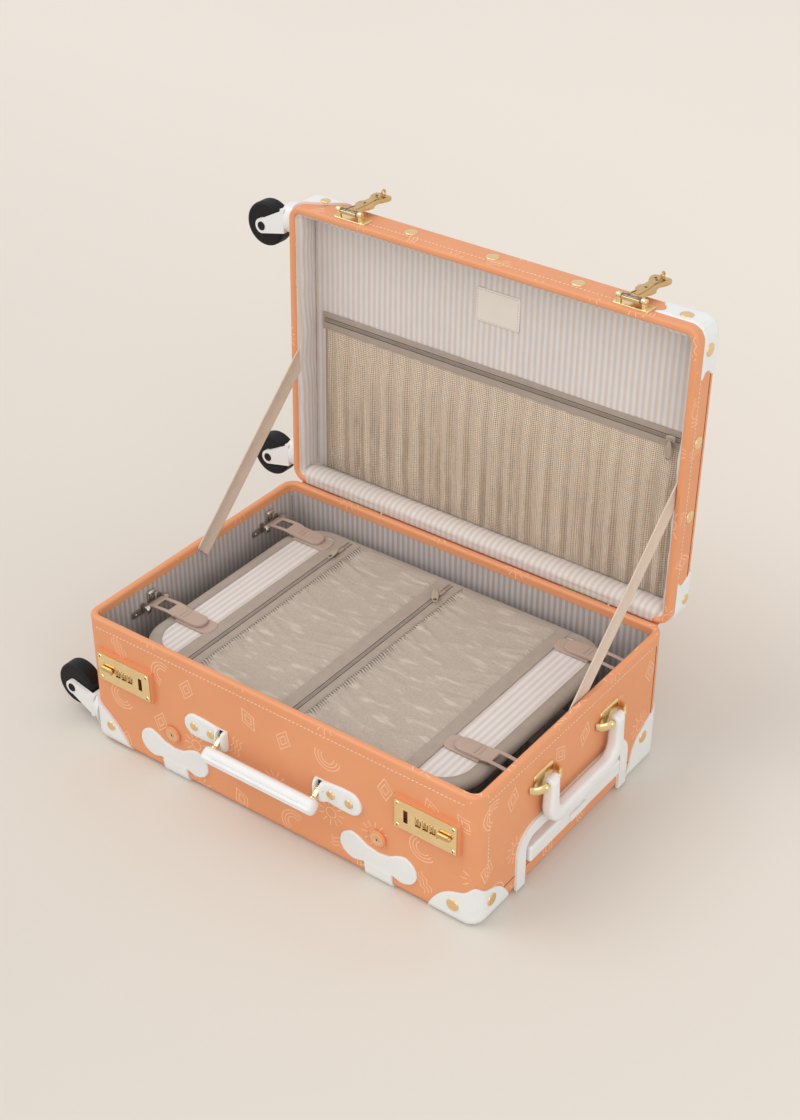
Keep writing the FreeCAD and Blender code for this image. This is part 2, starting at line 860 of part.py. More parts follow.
def build_lock_plates():
    """Plates with slot, dial windows and slider slot, the dial shaft behind, and four screws each."""
    parts = []
    plate_y = (LOCK_PLATE_FACE, LOCK_PLATE_FACE + s.plate_thick)
    through = (LOCK_PLATE_FACE - s.plate_thick, LOCK_PLATE_FACE + 2 * s.plate_thick)
    level = s.lock_height
    window = s.dial_radius * 2
    ear_x = s.dial_pitch + s.dial_width / 2 + s.dial_ear
    slot_run = s.slider_stem_length + s.slider_travel + 2 * s.clearance
    for side, sign in SIDES:
        name = "lock_" + side
        middle = sign * LOCK_X
        plate = box(name + "_plate", around(middle, s.plate_length), plate_y,
                    around(level, s.plate_width))
        holes = [box(name + "_slot", around(middle - sign * s.slot_offset, s.slot_width), through,
                     around(level, s.slot_length))]
        for number in (-1, 0, 1):
            holes.append(box("%s_window_%d" % (name, number + 2),
                             around(middle + number * s.dial_pitch, s.dial_width + 2 * s.clearance),
                             through, around(level, window)))
        run_middle = middle + sign * (s.slider_offset + s.slider_travel / 2)
        holes.append(box(name + "_run", around(run_middle, slot_run), through,
                         around(level, s.slider_stem_width + 2 * s.clearance)))
        metal = [cut(name + "_pierced", plate, holes)]
        for ear, way in SIDES:
            metal.append(box("%s_ear_%s" % (name, ear), around(middle + way * ear_x, s.dial_ear),
                             (plate_y[1], DIAL_Y + 2 * s.dial_shaft_radius),
                             around(level, 4 * s.dial_shaft_radius)))
        metal.append(rod(name + "_shaft", "x", (middle - ear_x, DIAL_Y, level), 2 * ear_x,
                         s.dial_shaft_radius))
        parts.append(fuse(name + "_metal", metal))
        for across, way_x in SIDES:
            for up, way_z in SIDES:
                parts.append(rivet("%s_screw_%s_%s" % (name, across, up), "front",
                                   (middle + way_x * (s.plate_length / 2 - s.screw_inset),
                                    LOCK_PLATE_FACE, level + way_z * (s.plate_width / 2 - s.screw_inset)),
                                   s.screw_radius, s.screw_height))
    node(group("lock_plates", parts), "lock_plates")


def build_lock_dials():
    for side, sign in SIDES:
        middle = sign * LOCK_X
        for number in (-1, 0, 1):
            name = "lock_dial_%s_%d" % (side, number + 2)
            start = (middle + number * s.dial_pitch - s.dial_width / 2, DIAL_Y, s.lock_height)
            disc = rod(name + "_disc", "x", start, s.dial_width, s.dial_radius)
            bore = rod(name + "_bore", "x", (start[0] - s.dial_width, start[1], start[2]),
                       3 * s.dial_width, s.dial_shaft_radius + s.running_fit)
            node(cut(name, disc, [bore]), name)


def build_lock_sliders():
    face = LOCK_PLATE_FACE - s.clearance
    rear = LOCK_PLATE_FACE + s.plate_thick + s.clearance
    for side, sign in SIDES:
        name = "lock_slider_" + side
        middle = sign * (LOCK_X + s.slider_offset)
        level = s.lock_height
        head = box(name + "_head", around(middle, s.slider_length), (face - s.slider_thick, face),
                   around(level, s.slider_width))
        stem = box(name + "_stem", around(middle, s.slider_stem_length), (face, rear),
                   around(level, s.slider_stem_width))
        foot = box(name + "_foot", around(middle, s.slider_foot_length),
                   (rear, rear + s.slider_foot_thick), around(level, s.slider_foot_width))
        node(fuse(name, [head, stem, foot]), name)


END_PIN_X = HALF_LENGTH + s.end_pin_out


def build_end_handle_mounts():
    """Two gold mounts on the right end: plate, two ears and the pin that the handle turns on."""
    parts = []
    level = s.end_pin_height
    ear_gap = s.end_leg_width / 2 + s.clearance
    for side, sign in SIDES:
        name = "end_mount_" + side
        middle = sign * s.end_pin_spacing / 2
        plate = box(name + "_plate", (HALF_LENGTH, HALF_LENGTH + s.end_plate_thick),
                    around(middle, s.end_plate), around(level, s.end_plate))
        pieces = [plate]
        for ear, way in SIDES:
            low = middle + way * (ear_gap + s.end_ear_thick / 2)
            pieces.append(box("%s_ear_%s" % (name, ear),
                              (HALF_LENGTH + s.end_plate_thick, END_PIN_X + 2 * s.end_pin_radius),
                              around(low, s.end_ear_thick), around(level, s.end_ear_height)))
        start = middle - ear_gap - s.end_ear_thick
        length = 2 * (ear_gap + s.end_ear_thick)
        hole = rod(name + "_hole", "y", (END_PIN_X, start - s.end_ear_thick, level),
                   length + 2 * s.end_ear_thick, s.end_pin_radius)
        parts.append(cut(name, fuse(name + "_solid", pieces), [hole]))
        parts.append(rod(name + "_pin", "y", (END_PIN_X, start, level), length, s.end_pin_radius))
    node(group("end_handle_mounts", parts), "end_handle_mounts")


def build_end_handle_grip():
    """U-shaped moulded handle hanging from the two pins."""
    body = new_body("end_grip_body")
    near = END_PIN_X - s.end_grip_thick / 2
    far = END_PIN_X + s.end_grip_thick / 2
    outer = (s.end_pin_spacing + s.end_leg_width) / 2
    inner = (s.end_pin_spacing - s.end_leg_width) / 2
    top = s.end_pin_height + s.end_grip_thick / 2
    sketch = new_sketch(body, "end_grip_outline", "YZ_Plane", near)
    rounded_rectangle(sketch, both(outer), (s.end_grip_low, top),
                      s.end_grip_outer_round, s.end_grip_top_round)
    pad(body, sketch, s.end_grip_thick)
    doc.recompute()
    opening = new_sketch(body, "end_grip_opening", "YZ_Plane", far)
    rounded_rectangle(opening, both(inner), (s.end_grip_low + s.end_grip_bar, top + s.end_grip_bar),
                      s.end_grip_inner_round, s.end_grip_edge_round)
    hollow = pocket(body, opening, s.end_grip_thick)
    round_edges(body, hollow, s.end_grip_edge_round, on_level("X", near, far))
    bores = []
    for side, sign in SIDES:
        low, high = around(sign * s.end_pin_spacing / 2, 2 * s.end_leg_width)
        bores.append(rod("end_grip_bore_" + side, "y", (END_PIN_X, low, s.end_pin_height),
                         high - low, s.end_pin_radius + s.running_fit))
    node(cut("end_handle_grip", body, bores), "end_handle_grip")


def build_trolley_bezel():
    body = new_body("trolley_bezel")
    sketch = new_sketch(body, "trolley_bezel_outline", "YZ_Plane", HALF_LENGTH)
    rounded_rectangle(sketch, both(BEZEL_WIDTH), (s.bezel_low, s.bezel_top),
                      s.bezel_foot_round, s.bezel_round)
    pad(body, sketch, s.bezel_thick)
    doc.recompute()
    opening = new_sketch(body, "trolley_bezel_opening", "YZ_Plane", HALF_LENGTH + s.bezel_thick)
    rounded_rectangle(opening, both(BEZEL_OPENING),
                      (s.bezel_low - s.bezel_frame, s.bezel_top - s.bezel_frame),
                      s.bezel_foot_round, s.bezel_round - s.bezel_frame)
    pocket(body, opening, s.bezel_thick)
    node(body, "trolley_bezel")


def tube(name, start_x, end_x, middle_y, outer_radius):
    length = end_x - start_x
    centre = (start_x, middle_y, s.tube_height)
    outside = rod(name + "_outside", "x", centre, length, outer_radius)
    inside = rod(name + "_inside", "x", (start_x - s.tube_wall, middle_y, centre[2]),
                 length + 2 * s.tube_wall, outer_radius - s.tube_wall)
    return cut(name, outside, [inside])


TROLLEY_BACK = HALF_LENGTH - s.trolley_pocket_depth
TUBE_START = LINING_LENGTH - s.foot_gap - s.foot_length


def build_trolley():
    """Fixed tubes with their foot blocks, the sliding tubes, the grip and its button."""
    fixed = []
    sliding = []
    inner_radius = s.outer_tube_radius - s.tube_wall - s.clearance
    for side, sign in SIDES:
        middle = sign * s.tube_spacing / 2
        fixed.append(tube("trolley_outer_tube_" + side, -TUBE_START, TROLLEY_BACK, middle,
                          s.outer_tube_radius))
        fixed.append(box("trolley_foot_" + side, (-TUBE_START - s.foot_length, -TUBE_START),
                         around(middle, 2 * s.foot_half_width),
                         (s.floor_thick, s.tube_height + s.outer_tube_radius)))
        sliding.append(tube("trolley_inner_tube_" + side, s.inner_tube_gap - TUBE_START,
                            TROLLEY_BACK + s.clearance, middle, inner_radius))
    node(group("trolley_outer_tubes", fixed), "trolley_outer_tubes")
    node(group("trolley_inner_tubes", sliding), "trolley_inner_tubes")

    face = HALF_LENGTH + s.trolley_grip_out
    grip = new_body("trolley_grip_body")
    sketch = new_sketch(grip, "trolley_grip_outline", "YZ_Plane", TROLLEY_BACK + s.clearance)
    rounded_rectangle(sketch, both(BEZEL_OPENING - s.trolley_grip_end_gap),
                      around(s.tube_height, s.trolley_grip_height),
                      s.trolley_grip_round, s.trolley_grip_round)
    bar = pad(grip, sketch, face - TROLLEY_BACK - s.clearance)
    round_edges(grip, bar, s.trolley_grip_round, on_level("X", face))
    well = box("trolley_button_well", (face - s.button_pocket, face + s.button_pocket),
               both(s.button_length / 2 + s.clearance),
               around(s.tube_height, s.button_width + 2 * s.clearance))
    node(cut("trolley_grip", grip, [well]), "trolley_grip")
    button = box("trolley_button", (face - s.button_depth, face + s.button_proud),
                 both(s.button_length / 2), around(s.tube_height, s.button_width))
    node(button, "trolley_button")


def wave_sheet(length, depth, fold, swell, thick):
    """Gathered cloth: one fold per period along x, extruded by depth along y, middle at z = 0.

    The outline follows arcs that rise and fall by swell about the middle level.
    """
    folds = max(2, int(round(length / fold)))
    half_fold = length / folds / 2

    def edge_line(offset):
        arcs = []
        for number in range(2 * folds):
            start = -length / 2 + number * half_fold
            crest = swell if number % 2 == 0 else -swell
            arcs.append(Part.Arc(Vector(start, 0, offset), Vector(start + half_fold / 2, 0, offset + crest),
                                 Vector(start + half_fold, 0, offset)).toShape())
        return arcs

    half = thick / 2
    left = Part.LineSegment(Vector(-length / 2, 0, -half), Vector(-length / 2, 0, half)).toShape()
    right = Part.LineSegment(Vector(length / 2, 0, -half), Vector(length / 2, 0, half)).toShape()
    outline = Part.Wire(Part.__sortEdges__(edge_line(half) + edge_line(-half) + [left, right]))
    return Part.Face(outline).extrude(Vector(0, depth, 0))


def build_divider():
    """Padded panel over the packing space, with two gathered mesh pockets and their zips."""
    panel = rounded_slab("divider_panel", both(DIVIDER_LENGTH), both(DIVIDER_WIDTH),
                         s.divider_radius, (DIVIDER_LOW, DIVIDER_TOP))
    round_edges(panel, panel.Tip, s.divider_round, on_level("Z", DIVIDER_TOP, DIVIDER_LOW))
    node(panel, "divider_panel")

    half_zip = s.zip_width / 2
    left_zip = s.divider_zip_inset - DIVIDER_LENGTH
    half_depth = DIVIDER_WIDTH - s.divider_pocket_margin
    spans = (
        ("left", left_zip + half_zip, s.divider_zip_right - half_zip),
        ("right", s.divider_zip_right + half_zip, DIVIDER_LENGTH - s.divider_pocket_inset),
    )
    depth = 2 * float(half_depth)
    pieces = []
    for side, low, high in spans:
        # The folds run along X: the sheet's wave is turned a quarter so that it varies along Y.
        sheet_shape = wave_sheet(depth, float(high - low), float(s.pocket_fold),
                                 float(s.pocket_swell), float(s.mesh_thick))
        cloth = feature("divider_mesh_" + side, sheet_shape)
        lift = float(DIVIDER_TOP) + float(s.pocket_swell) + float(s.mesh_thick) / 2
        cloth.Placement = Placement(Vector(float(high), 0, lift), Rotation(Vector(0, 0, 1), 90))
        pieces.append(cloth)
    for side, middle in (("left", left_zip), ("right", s.divider_zip_right)):
        pieces.append(box("divider_tape_" + side, around(middle, s.zip_width),
                          both(half_depth), (DIVIDER_TOP, DIVIDER_TOP + s.zip_thick)))
        slider = box("divider_zip_slider_" + side, around(middle, s.zip_slider_width),
                     around(DIVIDER_WIDTH - s.divider_slider_inset, s.zip_slider_length),
                     (DIVIDER_TOP + s.zip_thick + s.clearance,
                      DIVIDER_TOP + s.zip_thick + s.clearance + s.zip_slider_thick))
        node(slider, "divider_zip_slider_" + side)
    node(group("divider_pockets", pieces), "divider_pockets")


CLIP_X = DIVIDER_LENGTH - s.clip_inset
BAR_X = LINING_LENGTH - s.bar_out
CLIP_ROWS = (("front", s.clip_front_inset - DIVIDER_WIDTH), ("back", DIVIDER_WIDTH - s.clip_back_inset))


def build_clips():
    """Clips at the panel's ends: sewn tab with a pin, hinged hook, and bar bracket on the wall."""
    tabs = []
    brackets = []
    pivot_z = DIVIDER_TOP + s.clip_pivot_rise
    ear_gap = s.clip_width / 2 - s.clip_ear
    low_side = pivot_z - s.clip_thick / 2
    bar_z = low_side - s.clearance - s.bar_radius
    lip_x = BAR_X + s.bar_radius + s.clearance
    for side, sign, row, middle in [pair + place for pair in SIDES for place in CLIP_ROWS]:
        name = "clip_%s_%s" % (side, row)
        tab_end = CLIP_X - s.clip_barrel_radius - s.clearance
        tab_start = tab_end - s.clip_tab_length
        flat = (DIVIDER_TOP, DIVIDER_TOP + s.clip_tab_thick)
        tab = [
            box(name + "_tab_plate", on_side(sign, tab_start, tab_end),
                around(middle, s.clip_width), flat),
            rod(name + "_tab_round", "z", (sign * tab_start, middle, DIVIDER_TOP),
                s.clip_tab_thick, s.clip_width / 2),
        ]
        for ear, way in SIDES:
            tab.append(box("%s_ear_%s" % (name, ear),
                           on_side(sign, tab_end - s.clip_ear, CLIP_X + s.clip_barrel_radius),
                           around(middle + way * (ear_gap + s.clip_ear / 2), s.clip_ear),
                           (DIVIDER_TOP, pivot_z + s.clip_barrel_radius)))
        tab.append(rod(name + "_pin", "y", (sign * CLIP_X, middle - ear_gap, pivot_z),
                       2 * ear_gap, s.clip_pin_radius))
        tabs.append(fuse(name + "_tab", tab))

        barrel_half = ear_gap - s.clearance
        plate_start = CLIP_X + s.clip_plate_gap
        hook = [
            rod(name + "_barrel", "y", (sign * CLIP_X, middle - barrel_half, pivot_z),
                2 * barrel_half, s.clip_barrel_radius),
            box(name + "_neck", on_side(sign, CLIP_X, plate_start + s.clip_ear),
                around(middle, 2 * barrel_half), around(pivot_z, s.clip_thick)),
            box(name + "_plate", on_side(sign, plate_start, lip_x + s.clip_lip),
                around(middle, s.clip_width), around(pivot_z, s.clip_thick)),
            box(name + "_lip", on_side(sign, lip_x, lip_x + s.clip_lip),
                around(middle, s.clip_width), (low_side - s.clip_lip_drop, pivot_z)),
        ]
        window_start = plate_start + s.clip_ear * 2
        removed = [
            rod(name + "_bore", "y", (sign * CLIP_X, middle - s.clip_width, pivot_z),
                2 * s.clip_width, s.clip_pin_radius + s.running_fit),
            box(name + "_window", on_side(sign, window_start, window_start + s.clip_window_length),
                around(middle, s.clip_window_width), around(pivot_z, 3 * s.clip_thick)),
        ]
        hook_name = "clip_hook_%s_%s" % (side, row)
        node(cut(hook_name, fuse(name + "_solid", hook), removed), hook_name)

        bracket = [
            box(name + "_bracket_plate", on_side(sign, LINING_LENGTH - s.bracket_thick, LINING_LENGTH),
                around(middle, s.bracket_width), around(bar_z, s.bracket_height)),
            rod(name + "_bar", "y", (sign * BAR_X, middle - s.bracket_width / 2, bar_z),
                s.bracket_width, s.bar_radius),
        ]
        for arm, way in SIDES:
            bracket.append(box("%s_arm_%s" % (name, arm),
                               on_side(sign, BAR_X - s.bar_radius, LINING_LENGTH - s.bracket_thick),
                               around(middle + way * (s.bracket_width - s.bracket_arm) / 2, s.bracket_arm),
                               around(bar_z, 2 * s.bar_radius)))
        brackets.append(fuse(name + "_bracket", bracket))
    node(group("clip_tabs", tabs), "clip_tabs")
    node(group("clip_wall_hooks", brackets), "clip_wall_hooks")


def build_hinges():
    """Two butt hinges on the back: base leaves with outer knuckles and pin, lid leaves with the middle one."""
    base_parts = []
    lid_leaves = []
    back = (HALF_WIDTH, HALF_WIDTH + s.leaf_thick)
    edge = s.knuckle_radius + s.clearance
    for side, sign in SIDES:
        name = "hinge_" + side
        middle = hinge_middle(sign)
        low, high = around(middle, s.leaf_width)
        bore = rod(name + "_bore", "x", (low - s.leaf_thick, HALF_WIDTH, HINGE_Z),
                   s.leaf_width + 2 * s.leaf_thick, s.hinge_pin_radius)
        leaf = [box(name + "_base_plate", (low, high), back,
                    (HINGE_Z - edge - s.leaf_height, HINGE_Z - edge))]
        for end, start in (("a", low), ("b", high - s.knuckle_length)):
            leaf.append(box("%s_base_web_%s" % (name, end), (start, start + s.knuckle_length), back,
                            (HINGE_Z - edge, HINGE_Z)))
            leaf.append(rod("%s_base_knuckle_%s" % (name, end), "x",
                            (start, HALF_WIDTH, HINGE_Z), s.knuckle_length,
                            s.knuckle_radius))
        base_parts.append(cut(name + "_base_leaf", fuse(name + "_base_solid", leaf), [bore]))
        base_parts.append(rod(name + "_pin", "x", (low, HALF_WIDTH, HINGE_Z),
                              s.leaf_width, s.hinge_pin_radius))

        inner = (low + s.knuckle_length + s.clearance, high - s.knuckle_length - s.clearance)
        wide_bore = rod(name + "_lid_bore", "x", (low, HALF_WIDTH, HINGE_Z),
                        s.leaf_width, s.hinge_pin_radius + s.running_fit)
        lid_leaf = [
            box(name + "_lid_plate", (low, high), back, (HINGE_Z + edge, HINGE_Z + edge + s.leaf_height)),
            box(name + "_lid_web", inner, back, (HINGE_Z, HINGE_Z + edge)),
            rod(name + "_lid_knuckle", "x", (inner[0], HALF_WIDTH, HINGE_Z),
                inner[1] - inner[0], s.knuckle_radius),
        ]
        lid_leaves.append(cut(name + "_lid_leaf", fuse(name + "_lid_solid", lid_leaf), [wide_bore]))
    node(group("hinge_base_leaves", base_parts), "hinge_base_leaves")
    node(group("hinge_lid_leaves", lid_leaves), "hinge_lid_leaves", in_lid=True)


def opened(x, y, z):
    """Where a point of the closed lid lies when the lid is open."""
    return LID_OPEN.multVec(Vector(float(x), float(y), float(z)))


def build_stay_straps():
    """Webbing stays, taut between the base's and the lid's end walls."""
    low = Vector(0, float(HALF_WIDTH - s.stay_reach), float(s.base_height - s.stay_depth))
    high = opened(0, HALF_WIDTH - s.stay_reach, LID_LOW + s.stay_depth)
    run = high - low
    slope = math.degrees(math.atan2(run.z, run.y))
    straps = []
    for side, sign in SIDES:
        outer = float(LINING_LENGTH - s.clearance)
        strap = doc.addObject("Part::Box", "stay_strap_" + side)
        bind(strap, {"Length": s.stay_thick, "Height": s.stay_width})
        strap.Width = run.Length
        start_x = outer - float(s.stay_thick) if sign > 0 else -outer
        turn = Rotation(Vector(1, 0, 0), slope)
        shift = turn.multVec(Vector(0, 0, -float(s.stay_width) / 2))
        strap.Placement = Placement(Vector(start_x, low.y, low.z) + shift, turn)
        straps.append(strap)
    node(group("stay_straps", straps), "stay_straps")


def build_lid_walls():
    ring = ring_body("lid_walls", OUTER, INNER, s.corner_radius, INNER_RADIUS, (LID_RIM_TOP, LID_SEAM))
    node(ring, "lid_walls", in_lid=True)


def build_lid_rim():
    body = ring_body("lid_rim", OUTER, LINED, s.corner_radius, LINING_RADIUS, (LID_LOW, LID_RIM_TOP))
    round_edges(body, body.Tip, s.rim_round, on_level("Z", LID_LOW))
    node(body, "lid_rim", in_lid=True)


def build_lid_panel():
    body = rounded_slab("lid_panel", both(HALF_LENGTH), both(HALF_WIDTH), s.corner_radius,
                        (LID_SEAM, LID_TOP))
    sketch = new_sketch(body, "lid_panel_hollow", "XY_Plane", LID_INSIDE)
    rounded_rectangle(sketch, both(INNER_LENGTH), both(INNER_WIDTH), INNER_RADIUS, INNER_RADIUS)
    hollow = pocket(body, sketch, s.lid_wrap - s.lid_panel_thick)
    round_edges(body, hollow, s.lid_round, on_level("Z", LID_TOP))
    node(body, "lid_panel", in_lid=True)


def build_lid_lining():
    """Sewn lining of the lid, with a padded roll along the hinge side."""
    body = rounded_slab("lid_lining_tray", both(INNER_LENGTH), both(INNER_WIDTH), INNER_RADIUS,
                        (LID_RIM_TOP, LID_INSIDE))
    sketch = new_sketch(body, "lid_lining_hollow", "XY_Plane", LID_LINING_FACE)
    rounded_rectangle(sketch, both(LINING_LENGTH), both(LINING_WIDTH), LINING_RADIUS, LINING_RADIUS)
    pocket(body, sketch, LID_LINING_FACE - LID_RIM_TOP)
    half = LINING_LENGTH - LINING_RADIUS
    roll = rod("lid_roll", "x", (-half, INNER_WIDTH - s.clearance - s.roll_radius,
                               LID_RIM_TOP + s.roll_radius),
               2 * half, s.roll_radius)
    node(fuse("lid_lining", [body, roll]), "lid_lining", in_lid=True)


def from_hinge(distance):
    """Y in the closed lid at a distance from the hinge edge."""
    return HALF_WIDTH - distance


def build_lid_pocket():
    """Gathered mesh pocket on the lid lining, with the zip along its mouth."""
    tape_low = s.lid_zip_middle - s.zip_width / 2
    tape_high = s.lid_zip_middle + s.zip_width / 2
    tape_z = (LID_LINING_FACE - s.zip_thick, LID_LINING_FACE)
    half_length = LINING_LENGTH - s.lid_pocket_inset
    cloth = feature("lid_mesh", wave_sheet(2 * float(half_length),
                                           float(tape_low - s.lid_pocket_low), float(s.lid_fold),
                                           float(s.lid_swell), float(s.mesh_thick)))
    level = float(LID_LINING_FACE) - float(s.lid_swell) - float(s.mesh_thick) / 2
    cloth.Placement = Placement(Vector(0, float(from_hinge(tape_low)), level), Rotation())
    tape = box("lid_tape", both(half_length),
               (from_hinge(tape_high), from_hinge(tape_low)), tape_z)
    node(group("lid_pocket", [cloth, tape]), "lid_pocket", in_lid=True)
    slider_top = LID_LINING_FACE - s.zip_thick - s.clearance
    slider = box("lid_zip_slider_block", around(half_length - s.lid_slider_inset, s.zip_slider_length),
                 around(from_hinge(s.lid_zip_middle), s.zip_slider_width),
                 (slider_top - s.zip_slider_thick, slider_top))
    node(group("lid_zip_slider", [slider]), "lid_zip_slider", in_lid=True)


def lid_skin(name, thick):
    """Layer of the given thickness on the outside of the lid above its rim."""
    low = LID_RIM_TOP - s.rim_round
    body = rounded_slab(name + "_outer", both(HALF_LENGTH + thick), both(HALF_WIDTH + thick),
                        s.corner_radius + thick, (low, LID_TOP + thick))
    round_edges(body, body.Tip, s.lid_round + thick, on_level("Z", LID_TOP + thick))
    inside = rounded_slab(name + "_inner", both(HALF_LENGTH), both(HALF_WIDTH), s.corner_radius,
                          (low - s.rim_round, LID_TOP))
    round_edges(inside, inside.Tip, s.lid_round, on_level("Z", LID_TOP))
    return cut(name, body, [inside])


def build_lid_corner_covers():
    front = rod("lid_cover_column", "z", (HALF_LENGTH, -HALF_WIDTH, LID_LOW),
                2 * s.lid_height, s.lid_cover_radius)
    back = sphere("lid_cover_ball", (HALF_LENGTH, HALF_WIDTH, LID_TOP),
                  s.lid_hinge_cover_radius)
    covers = [
        common("lid_cover_front", [lid_skin("lid_cover_skin_front", s.cover_thick), front]),
        common("lid_cover_back", [lid_skin("lid_cover_skin_back", s.cover_thick), back]),
    ]
    node(group("lid_corner_covers", covers), "lid_corner_covers", in_lid=True)


def lid_caster_z():
    return LID_TOP - s.lid_caster_rise


def build_lid_caster_housings():
    housings = []
    for side, sign in (("front", -1), ("back", 1)):
        name = "lid_housing_" + side
        skin = lid_skin(name + "_skin", s.housing_thick)
        ball = sphere(name + "_ball",
                      (-HALF_LENGTH - s.housing_out, sign * (HALF_WIDTH + s.housing_side),
                       LID_TOP + s.lid_housing_drop), s.lid_housing_sweep)
        cap = common(name + "_cap", [skin, ball])
        knob = boss(name + "_boss", caster_y(sign), lid_caster_z(),
                    s.lid_caster_rise - s.rim_round)
        solid = fuse(name + "_solid", [cap, knob])
        housings.append(cut(name, solid, [stem_bore(name + "_bore", caster_y(sign), lid_caster_z())]))
    node(group("lid_caster_housings", housings), "lid_caster_housings", in_lid=True)


def build_lid_rivets():
    heads = []
    for number in (-1, 0, 1):
        heads.append(rivet("lid_rivet_%d" % (number + 2), "front",
                           (number * s.lid_rivet_pitch, -HALF_WIDTH, LID_MIDDLE),
                           s.rivet_radius + s.clearance, s.rivet_height))
    for number, distance in ((1, s.lid_end_rivet_far), (2, s.lid_end_rivet_near)):
        heads.append(rivet("lid_end_rivet_%d" % number, "right",
                           (HALF_LENGTH, from_hinge(distance), LID_MIDDLE),
                           s.rivet_radius, s.rivet_height))
    inset = s.lid_cover_rivet_in
    heads.append(rivet("lid_cover_rivet_front", "front",
                       (HALF_LENGTH - inset, -HALF_WIDTH - s.cover_thick, LID_MIDDLE),
                       s.rivet_radius, s.rivet_height))
    heads.append(rivet("lid_cover_rivet_end", "right",
                       (HALF_LENGTH + s.cover_thick, -HALF_WIDTH + inset, LID_MIDDLE),
                       s.rivet_radius, s.rivet_height))
    heads.append(rivet("lid_cover_rivet_hinge", "right",
                       (HALF_LENGTH + s.cover_thick, from_hinge(s.lid_hinge_rivet_in),
                        LID_TOP - s.lid_hinge_rivet_down),
                       s.housing_rivet_radius, s.rivet_height))
    node(group("lid_rivets", heads), "lid_rivets", in_lid=True)


HASP_Y = -(HALF_WIDTH + s.hasp_stand_off)
HASP_Z = LID_LOW + s.hasp_rise


def build_hasps():
    """Hasps on the lid: riveted base with two posts and a pin, and the tongue folded back on it."""
    bases = []
    for side, sign in SIDES:
        name = "hasp_" + side
        middle = sign * (LOCK_X - s.slot_offset)
        low, high = around(middle, s.hasp_width)
        post = (s.hasp_width - s.tongue_width) / 2
        plate_z = (HASP_Z - s.hasp_knuckle_radius, HASP_Z - s.hasp_knuckle_radius + s.hasp_plate_height)
        base = [box(name + "_base_plate", (low, high),
                    (-HALF_WIDTH - s.hasp_plate_thick, -HALF_WIDTH), plate_z)]
        for end, start in (("a", low), ("b", high - post)):
            base.append(box("%s_post_%s" % (name, end), (start, start + post), (HASP_Y, -HALF_WIDTH),
                            around(HASP_Z, 2 * s.hasp_knuckle_radius)))
            base.append(rod("%s_post_round_%s" % (name, end), "x", (start, HASP_Y, HASP_Z), post,
                            s.hasp_knuckle_radius))
        base.append(rod(name + "_pin", "x", (low, HASP_Y, HASP_Z), s.hasp_width, s.hasp_pin_radius))
        bases.append(fuse(name + "_base", base))

        inner = (low + post + s.clearance, high - post - s.clearance)
        plate_y = (HASP_Y - s.tongue_thick, HASP_Y)
        staple_z = HASP_Z + s.staple_offset
        tongue = [
            rod(name + "_barrel", "x", (inner[0], HASP_Y, HASP_Z), inner[1] - inner[0],
                s.hasp_knuckle_radius),
            box(name + "_tongue", inner, plate_y, (HASP_Z, HASP_Z + s.tongue_length)),
            box(name + "_staple", around(middle, s.staple_width),
                (plate_y[0] - s.staple_height, plate_y[0]), around(staple_z, s.staple_length)),
        ]
        bore = rod(name + "_bore", "x", (low, HASP_Y, HASP_Z), s.hasp_width,
                   s.hasp_pin_radius + s.running_fit)
        node(cut(name + "_tongue_part", fuse(name + "_tongue_solid", tongue), [bore]),
             "hasp_tongue_" + side, in_lid=True)
    node(group("hasp_bases", bases), "hasp_bases", in_lid=True)


def arm_outline(level):
    """Side of the fork: from the crown's two edges to a round end about the axle."""
    crown = float(s.crown_radius)
    top = float(s.clearance)
    reach = float(s.caster_reach)
    trail = float(s.caster_trail)
    radius = float(s.arm_end_radius)
    high = Vector(reach, level, trail + radius)
    tip = Vector(reach + radius, level, trail)
    low = Vector(reach, level, trail - radius)
    edges = [
        Part.LineSegment(Vector(top, level, -float(s.crown_back)), Vector(top, level, crown)),
        Part.LineSegment(Vector(top, level, crown), high),
        Part.Arc(high, tip, low),
        Part.LineSegment(low, Vector(top, level, -float(s.crown_back))),
    ]
    return Part.Face(Part.Wire([edge.toShape() for edge in edges]))


def fork_shape():
    """Caster fork with its stem and axle; local x outward, y along the axle, z along the trail."""
    half_gap = float(s.wheel_width) / 2 + 2 * float(s.clearance)
    thick = float(s.arm_thick)
    out = Vector(1, 0, 0)
    pieces = []
    for level in (half_gap, -half_gap - thick):
        pieces.append(arm_outline(level).extrude(Vector(0, thick, 0)))
    crown = Part.makeCylinder(float(s.crown_radius), float(s.crown_thick),
                              Vector(float(s.clearance), 0, 0), out)
    bridge = Part.makeBox(float(s.crown_thick), 2 * (half_gap + thick), float(s.crown_radius + s.crown_back),
                          Vector(float(s.clearance), -half_gap - thick, -float(s.crown_back)))
    stem = Part.makeCylinder(float(s.stem_radius), float(s.stem_length),
                             Vector(float(s.clearance) - float(s.stem_length), 0, 0), out)
    fork = crown.multiFuse([bridge, stem] + pieces).removeSplitter()
    axle_length = 2 * (half_gap + thick)
    axle = Part.makeCylinder(float(s.axle_radius), axle_length,
                             Vector(float(s.caster_reach), -axle_length / 2, float(s.caster_trail)),
                             Vector(0, 1, 0))
    return Part.makeCompound([fork.cut(axle), axle])


